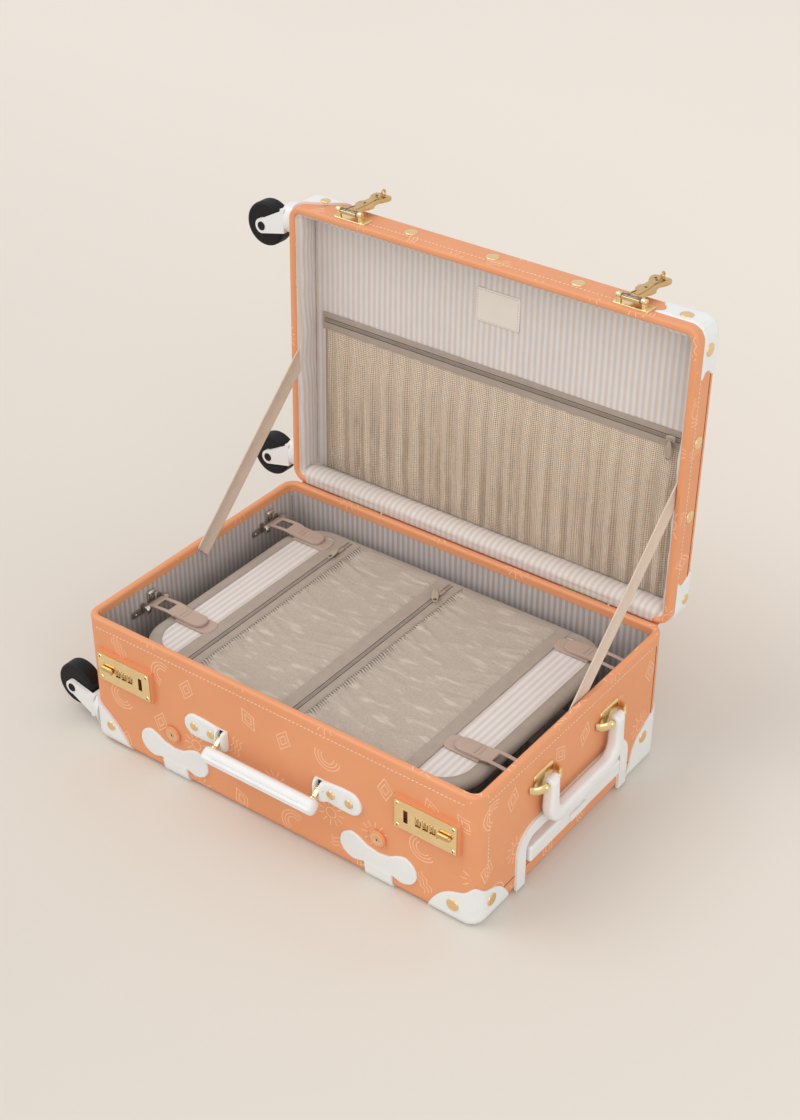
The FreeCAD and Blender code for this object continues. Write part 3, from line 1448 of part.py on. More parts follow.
def wheel_body(name):
    """Wheel about the local y axis, in the fork's frame."""
    body = new_body(name)
    half = s.wheel_width / 2
    sketch = new_sketch(body, name + "_disc", "XZ_Plane", -half)
    centre = Vector(float(s.caster_reach), float(s.caster_trail), 0)
    for radius in (s.wheel_radius, s.axle_radius + s.running_fit):
        circle = sketch.addGeometry(Part.Circle(centre, Vector(0, 0, 1), float(radius)), False)
        for kind, value in (("DistanceX", s.caster_reach), ("DistanceY", s.caster_trail)):
            index = sketch.addConstraint(Sketcher.Constraint(kind, -1, 1, circle, 3, float(value)))
            sketch.setExpression("Constraints[%d]" % index, text_of(value))
        index = sketch.addConstraint(Sketcher.Constraint("Radius", circle, float(radius)))
        sketch.setExpression("Constraints[%d]" % index, text_of(radius))
    disc = pad(body, sketch, s.wheel_width)

    def rim_edge(edge):
        on_tread = abs(getattr(edge.Curve, "Radius", 0) - float(s.wheel_radius)) < 1e-4
        return on_tread and edge.BoundBox.YLength < 1e-4

    round_edges(body, disc, s.wheel_round, rim_edge)
    return body


def build_casters():
    """Four swivel casters; the base's trail up off the floor, the lid's hang down as it stands open."""
    face = -HALF_LENGTH - s.boss_length
    base_turn = Rotation(Vector(-1, 0, 0), Vector(0, -1, 0), Vector(0, 0, 1), "ZXY")
    lid_turn = Rotation(Vector(-1, 0, 0), Vector(0, 0, 1), Vector(0, 1, 0), "ZXY")
    places = (
        ("base_front", -1, s.caster_rise, base_turn, False),
        ("base_back", 1, s.caster_rise, base_turn, False),
        ("lid_front", -1, lid_caster_z(), lid_turn, True),
        ("lid_back", 1, lid_caster_z(), lid_turn, True),
    )
    for corner, sign, level, turn, in_lid in places:
        spot = Placement(Vector(float(face), float(caster_y(sign)), float(level)), turn)
        fork = feature("caster_fork_" + corner, fork_shape())
        fork.Placement = spot
        node(fork, "caster_fork_" + corner, in_lid)
        wheel = wheel_body("caster_wheel_" + corner)
        wheel.Placement = spot
        node(wheel, "caster_wheel_" + corner, in_lid)


def check_and_write():
    doc.recompute()
    for item in doc.Objects:
        if "Invalid" in item.State or "Error" in item.State:
            raise RuntimeError("%s failed: %s" % (item.Label, item.State))
    os.makedirs("parts", exist_ok=True)
    for item in NODES:
        shape = item.Shape
        if shape.isNull() or not shape.isValid() or not shape.Solids:
            raise RuntimeError("%s has no valid solid" % item.Label)
    for item in NODES:
        item.Shape.exportStep("parts/%s.step" % item.Label)
        box_of = item.Shape.BoundBox
        print("%-24s solids %2d  volume %10.1f  x %.1f..%.1f  y %.1f..%.1f  z %.1f..%.1f" % (
            item.Label, len(item.Shape.Solids), item.Shape.Volume, box_of.XMin, box_of.XMax,
            box_of.YMin, box_of.YMax, box_of.ZMin, box_of.ZMax))
    print("nodes", len(NODES))


build_base_walls()
build_base_bottom()
build_base_rim()
build_base_lining()
build_base_corner_covers()
build_base_caster_housings()
build_base_rivets()
build_front_handle_tabs()
build_front_handle()
build_strap_bows()
build_lock_pads()
build_lock_plates()
build_lock_dials()
build_lock_sliders()
build_end_handle_mounts()
build_end_handle_grip()
build_trolley_bezel()
build_trolley()
build_divider()
build_clips()
build_hinges()
build_stay_straps()
build_lid_walls()
build_lid_rim()
build_lid_panel()
build_lid_lining()
build_lid_pocket()
build_lid_corner_covers()
build_lid_caster_housings()
build_lid_rivets()
build_hasps()
build_casters()
check_and_write()
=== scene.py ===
import json
import math
import random

import bpy
from mathutils import Matrix, Vector, noise


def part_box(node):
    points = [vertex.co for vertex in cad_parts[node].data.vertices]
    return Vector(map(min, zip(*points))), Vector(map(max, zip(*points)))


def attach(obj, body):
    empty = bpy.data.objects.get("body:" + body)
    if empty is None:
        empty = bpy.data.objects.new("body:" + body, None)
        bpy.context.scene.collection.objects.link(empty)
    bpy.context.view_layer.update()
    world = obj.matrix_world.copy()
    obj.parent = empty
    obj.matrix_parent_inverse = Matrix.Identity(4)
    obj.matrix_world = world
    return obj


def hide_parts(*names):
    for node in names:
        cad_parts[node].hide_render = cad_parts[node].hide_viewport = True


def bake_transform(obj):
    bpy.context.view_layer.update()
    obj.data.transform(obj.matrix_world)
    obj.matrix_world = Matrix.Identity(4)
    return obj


# Looks of an orange carry-on case with white leather trim, gold fittings and a striped lining.
# Lengths in the functions below are millimetres in the frame's axes, turned to metres as a mesh is made.

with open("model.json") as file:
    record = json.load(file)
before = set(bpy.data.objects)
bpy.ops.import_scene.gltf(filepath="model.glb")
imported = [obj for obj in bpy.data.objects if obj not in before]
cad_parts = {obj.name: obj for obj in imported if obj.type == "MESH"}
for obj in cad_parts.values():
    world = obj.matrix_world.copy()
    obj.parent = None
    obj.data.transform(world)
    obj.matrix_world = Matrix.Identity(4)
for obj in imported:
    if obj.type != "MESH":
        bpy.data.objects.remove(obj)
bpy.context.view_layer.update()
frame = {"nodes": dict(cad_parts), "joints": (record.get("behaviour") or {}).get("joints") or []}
nodes = frame["nodes"]
joints = {joint["name"]: joint for joint in frame["joints"]}
MM = 0.001
FULL_TURN = 2 * math.pi
QUARTER = math.pi / 2
SIDES = (("left", -1), ("right", 1))
ACROSS = Vector((1, 0, 0))
UP = Vector((0, 0, 1))
random.seed(11)


def node_box(name):
    low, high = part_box(name)
    return low / MM, high / MM


# Planes of the case, read from the frame
WALL_LOW, WALL_HIGH = node_box("base_walls")
HALF_LENGTH = WALL_HIGH.x
HALF_WIDTH = WALL_HIGH.y
BODY_WIDTH = 2 * HALF_WIDTH
SEAM_Z = WALL_LOW.z
RIM_LOW = WALL_HIGH.z
RIM_TOP = node_box("base_rim")[1].z
LINING_LOW, LINING_HIGH = node_box("base_lining")
LINING_THICK = 2
INSIDE_LENGTH = LINING_HIGH.x - LINING_THICK
INSIDE_WIDTH = LINING_HIGH.y - LINING_THICK
FLOOR_Z = LINING_LOW.z + LINING_THICK
CORNER_RADIUS = 16
BOTTOM_ROUND = 10

# The lid is drawn closed, by distance u from the hinge face and height v over its rim plane, and turned open.
PIVOT = Vector(joints["lid_hinge"]["pos_m"]) / MM
LID_TURN = Matrix.Rotation(-math.radians(joints["lid_hinge"]["range_deg"][1]), 3, "X")
LID_FRONT = LID_TURN @ Vector((0, -1, 0))
LID_ALONG = LID_TURN @ UP
LID_GAP = 0.5
LID_LIFT = RIM_TOP + LID_GAP - PIVOT.z
LID_DEPTH = 42
LID_FACE = LID_DEPTH - 4 - LINING_THICK
LID_RIM = 10
LID_SEAM = LID_DEPTH - 11
LID_ROUND = 8


def in_lid(x, u, v):
    return PIVOT + LID_TURN @ Vector((x, -u, LID_LIFT + v))


def between(low, high, share):
    return low + (high - low) * share


def limited(value):
    return min(1.0, max(0.0, value))


def squared(angle, power):
    """Cosine and sine of an angle, drawn from a circle towards a square by a power below 1."""
    return [math.copysign(abs(part) ** power, part) for part in (math.cos(angle), math.sin(angle))]


def ruffle(point, size, height):
    """Signed smooth unevenness at a point."""
    return height * noise.noise(Vector(point) / size)


def colour(red, green, blue):
    """Linear colour of an 8-bit screen colour."""
    def linear(part):
        part /= 255
        return part / 12.92 if part <= 0.04045 else ((part + 0.055) / 1.055) ** 2.4
    return (linear(red), linear(green), linear(blue), 1)


# Materials

class Graph:
    """A material's node tree, with short calls that add and join nodes."""

    def __init__(self, name):
        self.material = bpy.data.materials.new(name)
        self.material.use_nodes = True
        self.tree = self.material.node_tree
        self.shader = self.tree.nodes["Principled BSDF"]
        source = self.add("TexCoord")
        self.position = source.outputs["Object"]
        self.normal = source.outputs["Normal"]

    def feed(self, socket, value):
        if isinstance(value, bpy.types.NodeSocket):
            self.tree.links.new(value, socket)
        else:
            socket.default_value = value

    def add(self, kind, inputs=None, **settings):
        made = self.tree.nodes.new("ShaderNode" + kind)
        for key, value in settings.items():
            setattr(made, key, value)
        for key, value in (inputs or {}).items():
            self.feed(made.inputs[key], value)
        return made

    def math(self, operation, *values):
        return self.add("Math", dict(enumerate(values)), operation=operation).outputs[0]

    def plus(self, first, second):
        return self.math("ADD", first, second)

    def minus(self, first, second):
        return self.math("SUBTRACT", first, second)

    def times(self, first, *others):
        for other in others:
            first = self.math("MULTIPLY", first, other)
        return first

    def size(self, value):
        """Value without its sign."""
        return self.math("ABSOLUTE", value)

    def above(self, value, limit):
        return self.math("GREATER_THAN", value, limit)

    def within(self, value, low, high):
        return self.times(self.above(value, low), self.math("LESS_THAN", value, high))

    def either(self, choice, first, second):
        """First where choice is 0, second where it is 1."""
        return self.plus(self.times(first, self.minus(1.0, choice)), self.times(second, choice))

    def wave(self, value, pitch):
        """Sine of a place in metres, with a pitch in millimetres."""
        return self.math("SINE", self.times(value, FULL_TURN / (pitch * MM)))

    def split(self, vector):
        made = self.add("SeparateXYZ", {"Vector": vector})
        return made.outputs[0], made.outputs[1], made.outputs[2]

    def join(self, x, y, z=0.0):
        return self.add("CombineXYZ", {"X": x, "Y": y, "Z": z}).outputs[0]

    def mix(self, factor, first, second):
        return self.add("Mix", {0: factor, 6: first, 7: second}, data_type="RGBA").outputs[2]

    def noise(self, size, detail=3, vector=None):
        """Noise whose blotches are about size millimetres wide."""
        return self.add("TexNoise", {"Vector": vector or self.position, "Scale": 1 / (size * MM),
                                     "Detail": detail}).outputs[0]

    def mottle(self, size, detail, low, high):
        """Blotches between two 8-bit screen colours."""
        return self.mix(self.noise(size, detail), colour(*low), colour(*high))

    def cells(self, size):
        return self.add("TexVoronoi", {"Vector": self.position, "Scale": 1 / (size * MM)}).outputs["Distance"]

    def smooth(self, value, low, high):
        """0 at low, 1 at high, smooth between."""
        return self.add("MapRange", {"Value": value, "From Min": low, "From Max": high},
                        interpolation_type="SMOOTHSTEP").outputs[0]

    def span(self, value, low, high):
        """Stretch a 0 to 1 value to low to high."""
        return self.add("MapRange", {"Value": value, "To Min": low, "To Max": high}).outputs[0]

    def bump(self, height, depth, strength):
        """Surface relief depth millimetres high."""
        made = self.add("Bump", {"Height": height, "Strength": strength, "Distance": depth * MM})
        self.feed(self.shader.inputs["Normal"], made.outputs[0])

    def set(self, **sockets):
        for key, value in sockets.items():
            self.feed(self.shader.inputs[key.replace("_", " ")], value)

    def flat(self):
        """Two coordinates in the surface's main plane: x and z, y and z, or x and y."""
        x, y, z = self.split(self.position)
        away_x, _, away_z = [self.size(part) for part in self.split(self.normal)]
        steep = 0.65
        return (self.either(self.above(away_x, steep), x, y), self.either(self.above(away_z, steep), z, y))


MOTIF_PITCH = 56
# The sizes of a motif are shares of the pitch.
MOTIF_LINE = 0.0085
SUN_RAYS = 11
SUN_RADIUS = 0.11


def printed_motifs(g):
    """Mask of thin line motifs, one in each cell: suns, diamonds, nested arches and ripples."""
    across, along = g.flat()
    scaled = g.join(g.math("DIVIDE", across, MOTIF_PITCH * MM), g.math("DIVIDE", along, MOTIF_PITCH * MM))
    cell = g.add("TexVoronoi", {"Vector": scaled, "Scale": 1.0, "Randomness": 0.55},
                 voronoi_dimensions="2D")
    local = g.add("VectorMath", {0: scaled, 1: cell.outputs["Position"]}, operation="SUBTRACT")
    chance = g.add("SeparateColor", {"Color": cell.outputs["Color"]})
    turn = g.add("VectorRotate", {"Vector": local.outputs[0],
                                  "Angle": g.times(chance.outputs[0], FULL_TURN)}, rotation_type="Z_AXIS")
    x, y, _ = g.split(turn.outputs[0])
    radius = g.math("SQRT", g.plus(g.times(x, x), g.times(y, y)))

    def repeat(value, pitch):
        """Distance to the nearest multiple of pitch."""
        return g.size(g.math("WRAP", value, pitch / 2, -pitch / 2))

    def line(distance):
        return g.minus(1.0, g.smooth(distance, MOTIF_LINE * 0.6, MOTIF_LINE * 1.4))

    from_ray = g.times(repeat(g.math("ARCTAN2", y, x), FULL_TURN / SUN_RAYS), radius)
    rays = g.times(line(from_ray), g.within(radius, 0.16, 0.29))
    sun = g.math("MAXIMUM", rays, line(g.size(g.minus(radius, SUN_RADIUS))))
    corner = g.plus(g.times(g.size(x), 1.5), g.size(y))
    diamonds = g.times(line(g.times(repeat(corner, 0.12), 0.6)), g.within(corner, 0.05, 0.28))
    arches = g.times(line(repeat(radius, 0.07)), g.times(g.within(radius, 0.1, 0.3), g.above(y, -0.03)))
    ripple = g.plus(y, g.times(g.math("SINE", g.times(x, 34.0)), 0.022))
    ripples = g.times(line(repeat(ripple, 0.085)),
                      g.times(g.within(x, -0.22, 0.22), g.within(ripple, -0.12, 0.12)))
    mask = 0.0
    for number, motif in enumerate((sun, diamonds, arches, ripples)):
        chosen = g.within(chance.outputs[1], number * 0.25, number * 0.25 + 0.25)
        mask = g.plus(mask, g.times(motif, chosen))
    away_x, away_y, away_z = [g.size(part) for part in g.split(g.normal)]
    squareness = g.math("MAXIMUM", g.math("MAXIMUM", away_x, away_y), away_z)
    return g.times(mask, g.smooth(squareness, 0.86, 0.95))


def orange_leather():
    g = Graph("orange_leather")
    tone = g.mottle(70, 4, (220, 148, 103), (230, 158, 112))
    worn = g.span(g.noise(14), 0.45, 1.0)
    g.set(Base_Color=g.mix(g.times(printed_motifs(g), worn), tone, colour(250, 208, 174)),
          Roughness=g.span(g.noise(6), 0.42, 0.55), Specular_IOR_Level=0.4)
    g.bump(g.plus(g.cells(1.1), g.times(g.noise(0.5), 0.5)), 0.09, 0.55)
    return g.material


def plain_orange():
    """Unprinted orange cloth of the lock pads, studs and hinge strips."""
    g = Graph("plain_orange")
    g.set(Base_Color=g.mottle(40, 4, (216, 140, 94), (228, 154, 108)),
          Roughness=g.span(g.noise(5), 0.42, 0.56), Specular_IOR_Level=0.4)
    g.bump(g.plus(g.cells(1.1), g.noise(9)), 0.12, 0.5)
    return g.material


def white_leather():
    g = Graph("white_leather")
    g.set(Base_Color=g.mottle(30, 5, (223, 225, 224), (234, 236, 235)),
          Roughness=g.span(g.noise(7), 0.38, 0.52), Specular_IOR_Level=0.45)
    g.bump(g.plus(g.cells(0.9), g.times(g.noise(4), 0.7)), 0.08, 0.5)
    return g.material


def moulded(name, low, high, roughness, relief=0.03):
    """Moulded plastic with a faint unevenness."""
    g = Graph(name)
    g.set(Base_Color=g.mottle(25, 4, low, high),
          Roughness=g.span(g.noise(5), roughness - 0.05, roughness + 0.07))
    g.bump(g.noise(9, 2), relief, 0.4)
    return g.material


def metal(name, low, high, roughness):
    """Plated metal with soft polish marks."""
    g = Graph(name)
    stretched = g.add("Mapping", {"Vector": g.position, "Scale": (0.3, 1.0, 2.5)}).outputs[0]
    marks = g.noise(1.2, 5, stretched)
    g.set(Base_Color=g.mottle(9, 3, low, high), Metallic=1.0,
          Roughness=g.span(marks, roughness - 0.05, roughness + 0.09))
    g.bump(marks, 0.02, 0.4)
    return g.material


STRIPE_PITCH = 7.2
WEAVE_PITCH = 0.8


def striped_cloth(name, pale_low, pale_high, warm_low, warm_high):
    g = Graph(name)
    x, y, z = g.split(g.position)
    across = g.either(g.above(g.size(g.split(g.normal)[0]), 0.75), x, y)
    wander = g.times(g.noise(60), 1.2 * MM)
    stripe = g.smooth(g.wave(g.plus(across, wander), STRIPE_PITCH), -0.6, 0.6)
    warm = g.mottle(22, 4, warm_low, warm_high)
    pale = g.mottle(22, 4, pale_low, pale_high)
    g.set(Base_Color=g.mix(stripe, warm, pale), Roughness=0.82, Sheen_Weight=0.15, Sheen_Roughness=0.5)
    weave = g.times(g.wave(across, WEAVE_PITCH), g.wave(z, WEAVE_PITCH))
    g.bump(g.plus(g.times(weave, 0.12), g.noise(16, 4)), 0.5, 0.6)
    return g.material


LID_POCKET_HALF = 228
LID_FOLD = 21
NARROW_FOLD = 0.56 * LID_FOLD
# Heights between which the painted shade in the troughs of the folds fades
FOLD_PALE = 345
FOLD_DARK = 190


def gather_shadows(g, shade, across, along, seam):
    """Painted shadows of the gathered net: dark slanting hatch and short ticks beside the seam at x = seam.
    """
    beside = g.minus(across, seam * MM)
    past = g.above(beside, -2 * MM)
    lines = g.smooth(g.wave(g.plus(along, g.times(beside, 0.5)), 3.6), 0.0, 0.6)
    hatch = g.times(g.smooth(beside, 15 * MM, 3 * MM), past, lines, g.smooth(g.noise(24), 0.42, 0.58))
    ticks = g.times(g.smooth(beside, 6.5 * MM, 2.5 * MM), past, lines)
    return g.mix(g.times(g.math("MAXIMUM", hatch, ticks), 0.95), shade, colour(72, 62, 54))


def fold_hollow_shade(g, shade, across, along):
    """Painted shade in the troughs between the lid net's folds, fading upward, and a dark edge at both ends.
    """
    broad = g.wave(g.plus(across, g.times(g.noise(60), 6 * MM)), LID_FOLD)
    narrow = g.wave(g.plus(across, g.times(g.noise(34), 9 * MM)), NARROW_FOLD)
    hollow_shade = g.times(g.smooth(g.plus(broad, g.times(narrow, 0.8)), 0.9, -1.3),
                     g.span(g.noise(45), 0.1, 0.9),
                     g.span(g.smooth(along, FOLD_PALE * MM, FOLD_DARK * MM), 0.35, 1.0))
    shade = g.mix(hollow_shade, shade, colour(150, 126, 102))
    edge = g.smooth(g.size(across), (LID_POCKET_HALF - 6) * MM, (LID_POCKET_HALF - 1) * MM)
    return g.mix(g.times(edge, 0.6), shade, colour(112, 98, 86))


def net(name, low, high, see_through, pitch, seams=(), folds=False):
    """Fine warp-knit net with see-through holes, with painted shadows and highlights where the net is
    gathered beside x = each seam, or painted shade between hanging folds.
    """
    g = Graph(name)
    across, along = g.flat()
    knit = g.times(g.wave(g.plus(across, along), pitch), g.wave(g.minus(across, along), pitch))
    holes = g.smooth(g.plus(knit, g.span(g.noise(3), -0.4, 0.4)), -0.55, 0.35)
    shade = g.mix(g.span(holes, 0.42, 0.0), g.mottle(18, 4, low, high), colour(140, 124, 108))
    if seams:
        # Lighter streaks: painted highlights on the puckered net.
        pucker_highlight = g.smooth(g.noise(9, 2, g.join(g.times(across, 0.28), along)), 0.54, 0.7)
        shade = g.mix(g.times(pucker_highlight, 0.5), shade, colour(226, 214, 199))
    for seam in seams:
        shade = gather_shadows(g, shade, across, along, seam)
    if folds:
        shade = fold_hollow_shade(g, shade, across, along)
    g.set(Base_Color=shade, Roughness=0.8, Alpha=g.span(holes, 1 - see_through, 0.97), Sheen_Weight=0.15)
    g.bump(g.plus(g.times(holes, 0.25), g.noise(9)), 0.35, 0.5)
    return g.material


def woven(name, low, high, pitch=1.3):
    """Flat woven tape with a twill line."""
    g = Graph(name)
    twill = g.wave(g.plus(*g.flat()), pitch)
    g.set(Base_Color=g.mix(g.plus(g.times(twill, 0.2), g.noise(12, 4)), colour(*low), colour(*high)),
          Roughness=0.85, Sheen_Weight=0.15)
    g.bump(g.plus(twill, g.noise(1.5)), 0.12, 0.6)
    return g.material


def rubber():
    g = Graph("wheel_rubber")
    g.set(Base_Color=g.mottle(12, 4, (13, 13, 14), (24, 23, 23)),
          Roughness=g.span(g.noise(4), 0.5, 0.66), Specular_IOR_Level=0.28)
    g.bump(g.noise(0.9, 4), 0.06, 0.6)
    return g.material


# Places of the divider's zips, and of the net seams under the far edges of their tapes
ZIP_LEFT = -138
ZIP_RIGHT = 2
TAPE_NEAR = 19
TAPE_FAR = 13
NET_SEAMS = (ZIP_LEFT + TAPE_FAR - 1, ZIP_RIGHT + TAPE_FAR - 1)

ORANGE = orange_leather()
ORANGE_PLAIN = plain_orange()
WHITE_LEATHER = white_leather()
WHITE_PLASTIC = moulded("white_plastic", (226, 226, 224), (236, 236, 235), 0.3, 0.01)
GOLD = metal("gold_metal", (238, 208, 150), (251, 230, 184), 0.2)
DARK_GOLD = metal("dark_gold", (202, 166, 110), (230, 196, 140), 0.26)
STEEL = metal("steel", (96, 92, 86), (150, 145, 138), 0.26)
PAINTED = moulded("painted_metal", (166, 150, 134), (184, 168, 152), 0.3, 0.02)
BRIGHT = metal("bright_steel", (206, 202, 196), (232, 229, 224), 0.2)
BRACKET = moulded("bracket", (112, 97, 86), (132, 116, 104), 0.4)
LINING = striped_cloth("striped_lining", (215, 211, 212), (224, 221, 222), (208, 194, 181), (217, 204, 192))
# Darker copy of the striped lining: painted shade for the inside of the base.
SHADED_LINING = striped_cloth("lining_painted_shade", (186, 181, 182), (196, 191, 192), (170, 155, 143), (180, 165, 153))
ROLL_LINING = striped_cloth("roll_lining", (214, 207, 203), (223, 217, 213), (205, 192, 181), (214, 202, 191))
NET = net("divider_net", (190, 176, 161), (204, 191, 177), 0.3, 2.7, seams=NET_SEAMS)
LID_NET = net("lid_net", (219, 199, 175), (233, 214, 191), 0.5, 4.4, folds=True)
TAPE = woven("zip_tape", (160, 146, 133), (178, 164, 151))
WEBBING = woven("webbing", (205, 184, 165), (221, 202, 184), 2.2)
COIL = woven("zip_coil", (150, 136, 124), (168, 154, 142), 0.9)
CLIP = moulded("clip_plastic", (174, 151, 137), (188, 165, 150), 0.5, 0.08)
RUBBER = rubber()
# Dark tubes of painted shade in the gaps on both sides of each zip coil.
GAP_SHADE = moulded("zip_gap_shade", (62, 52, 45), (82, 70, 61), 0.7)
# Dark for the figures printed on the dials, and painted shade in the studs' slit, the screw slots, the tabs'
# gaps and the hasps' holes.
DARK_PRINT_AND_SHADE = moulded("dark_print_and_hole_shade", (30, 26, 22), (48, 42, 36), 0.6)
THREAD = woven("thread", (240, 216, 190), (250, 232, 212), 0.6)
BRASS = metal("rivet_metal", (236, 204, 150), (246, 220, 174), 0.36)
TAN = moulded("tan_leather", (216, 160, 116), (228, 176, 134), 0.5, 0.1)
SEWING = woven("white_thread", (214, 208, 198), (226, 221, 213), 0.6)
# Dark brown for painted shadow along the shell's seams.
SEAM_SHADOW = moulded("seam_shadow", (120, 62, 36), (140, 76, 46), 0.6)
PATCH = moulded("patch_leather", (222, 214, 202), (234, 227, 217), 0.55, 0.12)


# Mesh tools

def shade_smooth(mesh, sharp_angle):
    """Smooth shading, but for edges sharper than an angle in degrees."""
    mesh.polygons.foreach_set("use_smooth", [True] * len(mesh.polygons))
    mesh.set_sharp_from_angle(angle=math.radians(sharp_angle))


def facing(normal, centre):
    """Matrix that lays local z along normal at centre."""
    turn = UP.rotation_difference(Vector(normal)).to_matrix().to_4x4()
    return Matrix.Translation(Vector(centre)) @ turn


class Shape:
    """Points in millimetres and faces, of a piece or of a part of one."""

    def __init__(self, points=(), faces=()):
        self.points = list(points)
        self.faces = list(faces)

    def join(self, *others):
        for other in others:
            start = len(self.points)
            self.points += other.points
            self.faces += [[start + corner for corner in face] for face in other.faces]
        return self

    def mapped(self, place, flip=False):
        """Each point put through place(x, y, z), and the faces turned over where flip is set."""
        faces = [face[::-1] for face in self.faces] if flip else self.faces
        return Shape([place(*point) for point in self.points], faces)

    def moved(self, matrix):
        return self.mapped(lambda *point: matrix @ Vector(point))

    def at(self, normal, centre):
        return self.moved(facing(normal, centre))

    def build(self, name, material, body, replaces=None, slot=None):
        """New mesh object, riding on a body if one is named."""
        mesh = bpy.data.meshes.new(name)
        mesh.from_pydata([Vector(point) * MM for point in self.points], [], self.faces)
        mesh.validate()
        mesh.materials.append(material)
        shade_smooth(mesh, 50)
        made = bpy.data.objects.new(name, mesh)
        bpy.context.scene.collection.objects.link(made)
        if body:
            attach(made, body)
        if replaces:
            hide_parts(replaces)
        return made


def on_path(path, share):
    return path[round(share * (len(path) - 1))]


def on_ring(ring, share):
    return ring[round(share * len(ring)) % len(ring)]


def grid(rows, columns, place, closed_rows=False, closed_columns=False):
    """Surface of place(row share, column share) over a grid of quads."""
    row_count = rows if closed_rows else rows + 1
    column_count = columns if closed_columns else columns + 1
    points = [Vector(place(row / rows, column / columns))
              for row in range(row_count) for column in range(column_count)]
    faces = []
    for row in range(rows):
        start = row * column_count
        after = (row + 1) % row_count * column_count
        for column in range(columns):
            beside = (column + 1) % column_count
            faces.append([start + column, start + beside, after + beside, after + column])
    return Shape(points, faces)


def sleeve(rows, columns, place, caps=False):
    """Grid closed round its columns, with both ends closed where caps is set."""
    shape = grid(rows, columns, place, closed_columns=True)
    if caps:
        last = rows * columns
        shape.faces += [list(range(columns))[::-1], list(range(last, last + columns))]
    return shape


def lathe(profile, segments=28):
    """Surface of revolution about z of (radius, height) pairs."""
    def place(row, column):
        radius, height = on_path(profile, row)
        angle = FULL_TURN * column
        return (radius * math.cos(angle), radius * math.sin(angle), height)
    return sleeve(len(profile) - 1, segments, place)


def spindle(profile, segments):
    """Surface of revolution of a profile above z = 0 and its mirror image below."""
    return lathe([(radius, -height) for radius, height in profile[::-1]] + profile, segments)


def loft(rings, caps=False):
    """Surface through rings of equally many points."""
    def place(row, column):
        return on_ring(on_path(rings, row), column)
    return sleeve(len(rings) - 1, len(rings[0]), place, caps)


def frames_along(points, closed=False):
    """Point, tangent and two normals at each point of a path."""
    made = []
    count = len(points)
    for number, point in enumerate(points):
        before = points[(number - 1) % count] if closed or number else point
        after = points[(number + 1) % count] if closed or number < count - 1 else point
        tangent = (after - before).normalized()
        first = tangent.cross(UP if abs(tangent.z) < 0.9 else ACROSS).normalized()
        made.append((point, tangent, first, first.cross(tangent).normalized()))
    return made


def tube(points, radius, segments=10, closed=False, flatten=1.0):
    """Round or flattened tube along a path."""
    stations = frames_along([Vector(point) for point in points], closed)
    rows = len(stations) if closed else len(stations) - 1

    def place(row, column):
        point, _, first, second = stations[round(row * rows) % len(stations)]
        angle = FULL_TURN * column
        return point + first * (radius * math.cos(angle)) + second * (radius * flatten * math.sin(angle))

    if closed:
        return grid(rows, segments, place, closed_rows=True, closed_columns=True)
    return sleeve(rows, segments, place, caps=True)


def along_curve(knots, value):
    """Smooth value through (place, height) knots, without overshoot."""
    slopes = [(y1 - y0) / (x1 - x0) for (x0, y0), (x1, y1) in zip(knots, knots[1:])]
    lean = [slopes[0]]
    for before, after in zip(slopes, slopes[1:]):
        lean.append(2 * before * after / (before + after) if before * after > 0 else 0.0)
    lean.append(slopes[-1])
    value = min(max(value, knots[0][0]), knots[-1][0])
    for number, ((x0, y0), (x1, y1)) in enumerate(zip(knots, knots[1:])):
        if value <= x1:
            run = x1 - x0
            t = (value - x0) / run
            return (y0 * (1 + 2 * t) * (1 - t) ** 2 + lean[number] * run * t * (1 - t) ** 2
                    + y1 * t * t * (3 - 2 * t) + lean[number + 1] * run * t * t * (t - 1))


def spline(knots, steps):
    """Points of a smooth open curve through the knots."""
    knots = [Vector(knot) for knot in knots]
    ends = [2 * knots[0] - knots[1]] + knots + [2 * knots[-1] - knots[-2]]
    made = []
    for p0, p1, p2, p3 in zip(ends, ends[1:], ends[2:], ends[3:]):
        for step in range(steps):
            t = step / steps
            made.append(0.5 * (2 * p1 + (p2 - p0) * t + (2 * p0 - 5 * p1 + 4 * p2 - p3) * t * t
                               + (3 * p1 - p0 - 3 * p2 + p3) * t ** 3))
    return made + [knots[-1]]


def evenly(path, steps):
    """Points at even distances along a path, from its start to its end."""
    lengths = [0.0]
    for before, after in zip(path, path[1:]):
        lengths.append(lengths[-1] + (after - before).length)
    made = []
    spot = 0
    for number in range(steps + 1):
        want = lengths[-1] * number / steps
        while spot < len(path) - 2 and lengths[spot + 1] < want:
            spot += 1
        run = max(1e-9, lengths[spot + 1] - lengths[spot])
        made.append(path[spot].lerp(path[spot + 1], (want - lengths[spot]) / run))
    return made


def rounded_outline(half_x, half_y, radius, step):
    """Points round a rectangle with round corners, anticlockwise from the +y end of the +x side."""
    made = []
    arc_steps = max(4, int(radius * QUARTER / step))
    for sign_x, sign_y, start in ((1, 1, 0), (-1, 1, 90), (-1, -1, 180), (1, -1, 270)):
        for number in range(arc_steps + 1):
            angle = math.radians(start + 90 * number / arc_steps)
            made.append((sign_x * (half_x - radius) + radius * math.cos(angle),
                         sign_y * (half_y - radius) + radius * math.sin(angle)))
    full = []
    for (x0, y0), (x1, y1) in zip(made, made[1:] + made[:1]):
        pieces = max(1, round(math.hypot(x1 - x0, y1 - y0) / step))
        for number in range(pieces):
            full.append((between(x0, x1, number / pieces), between(y0, y1, number / pieces)))
    return full


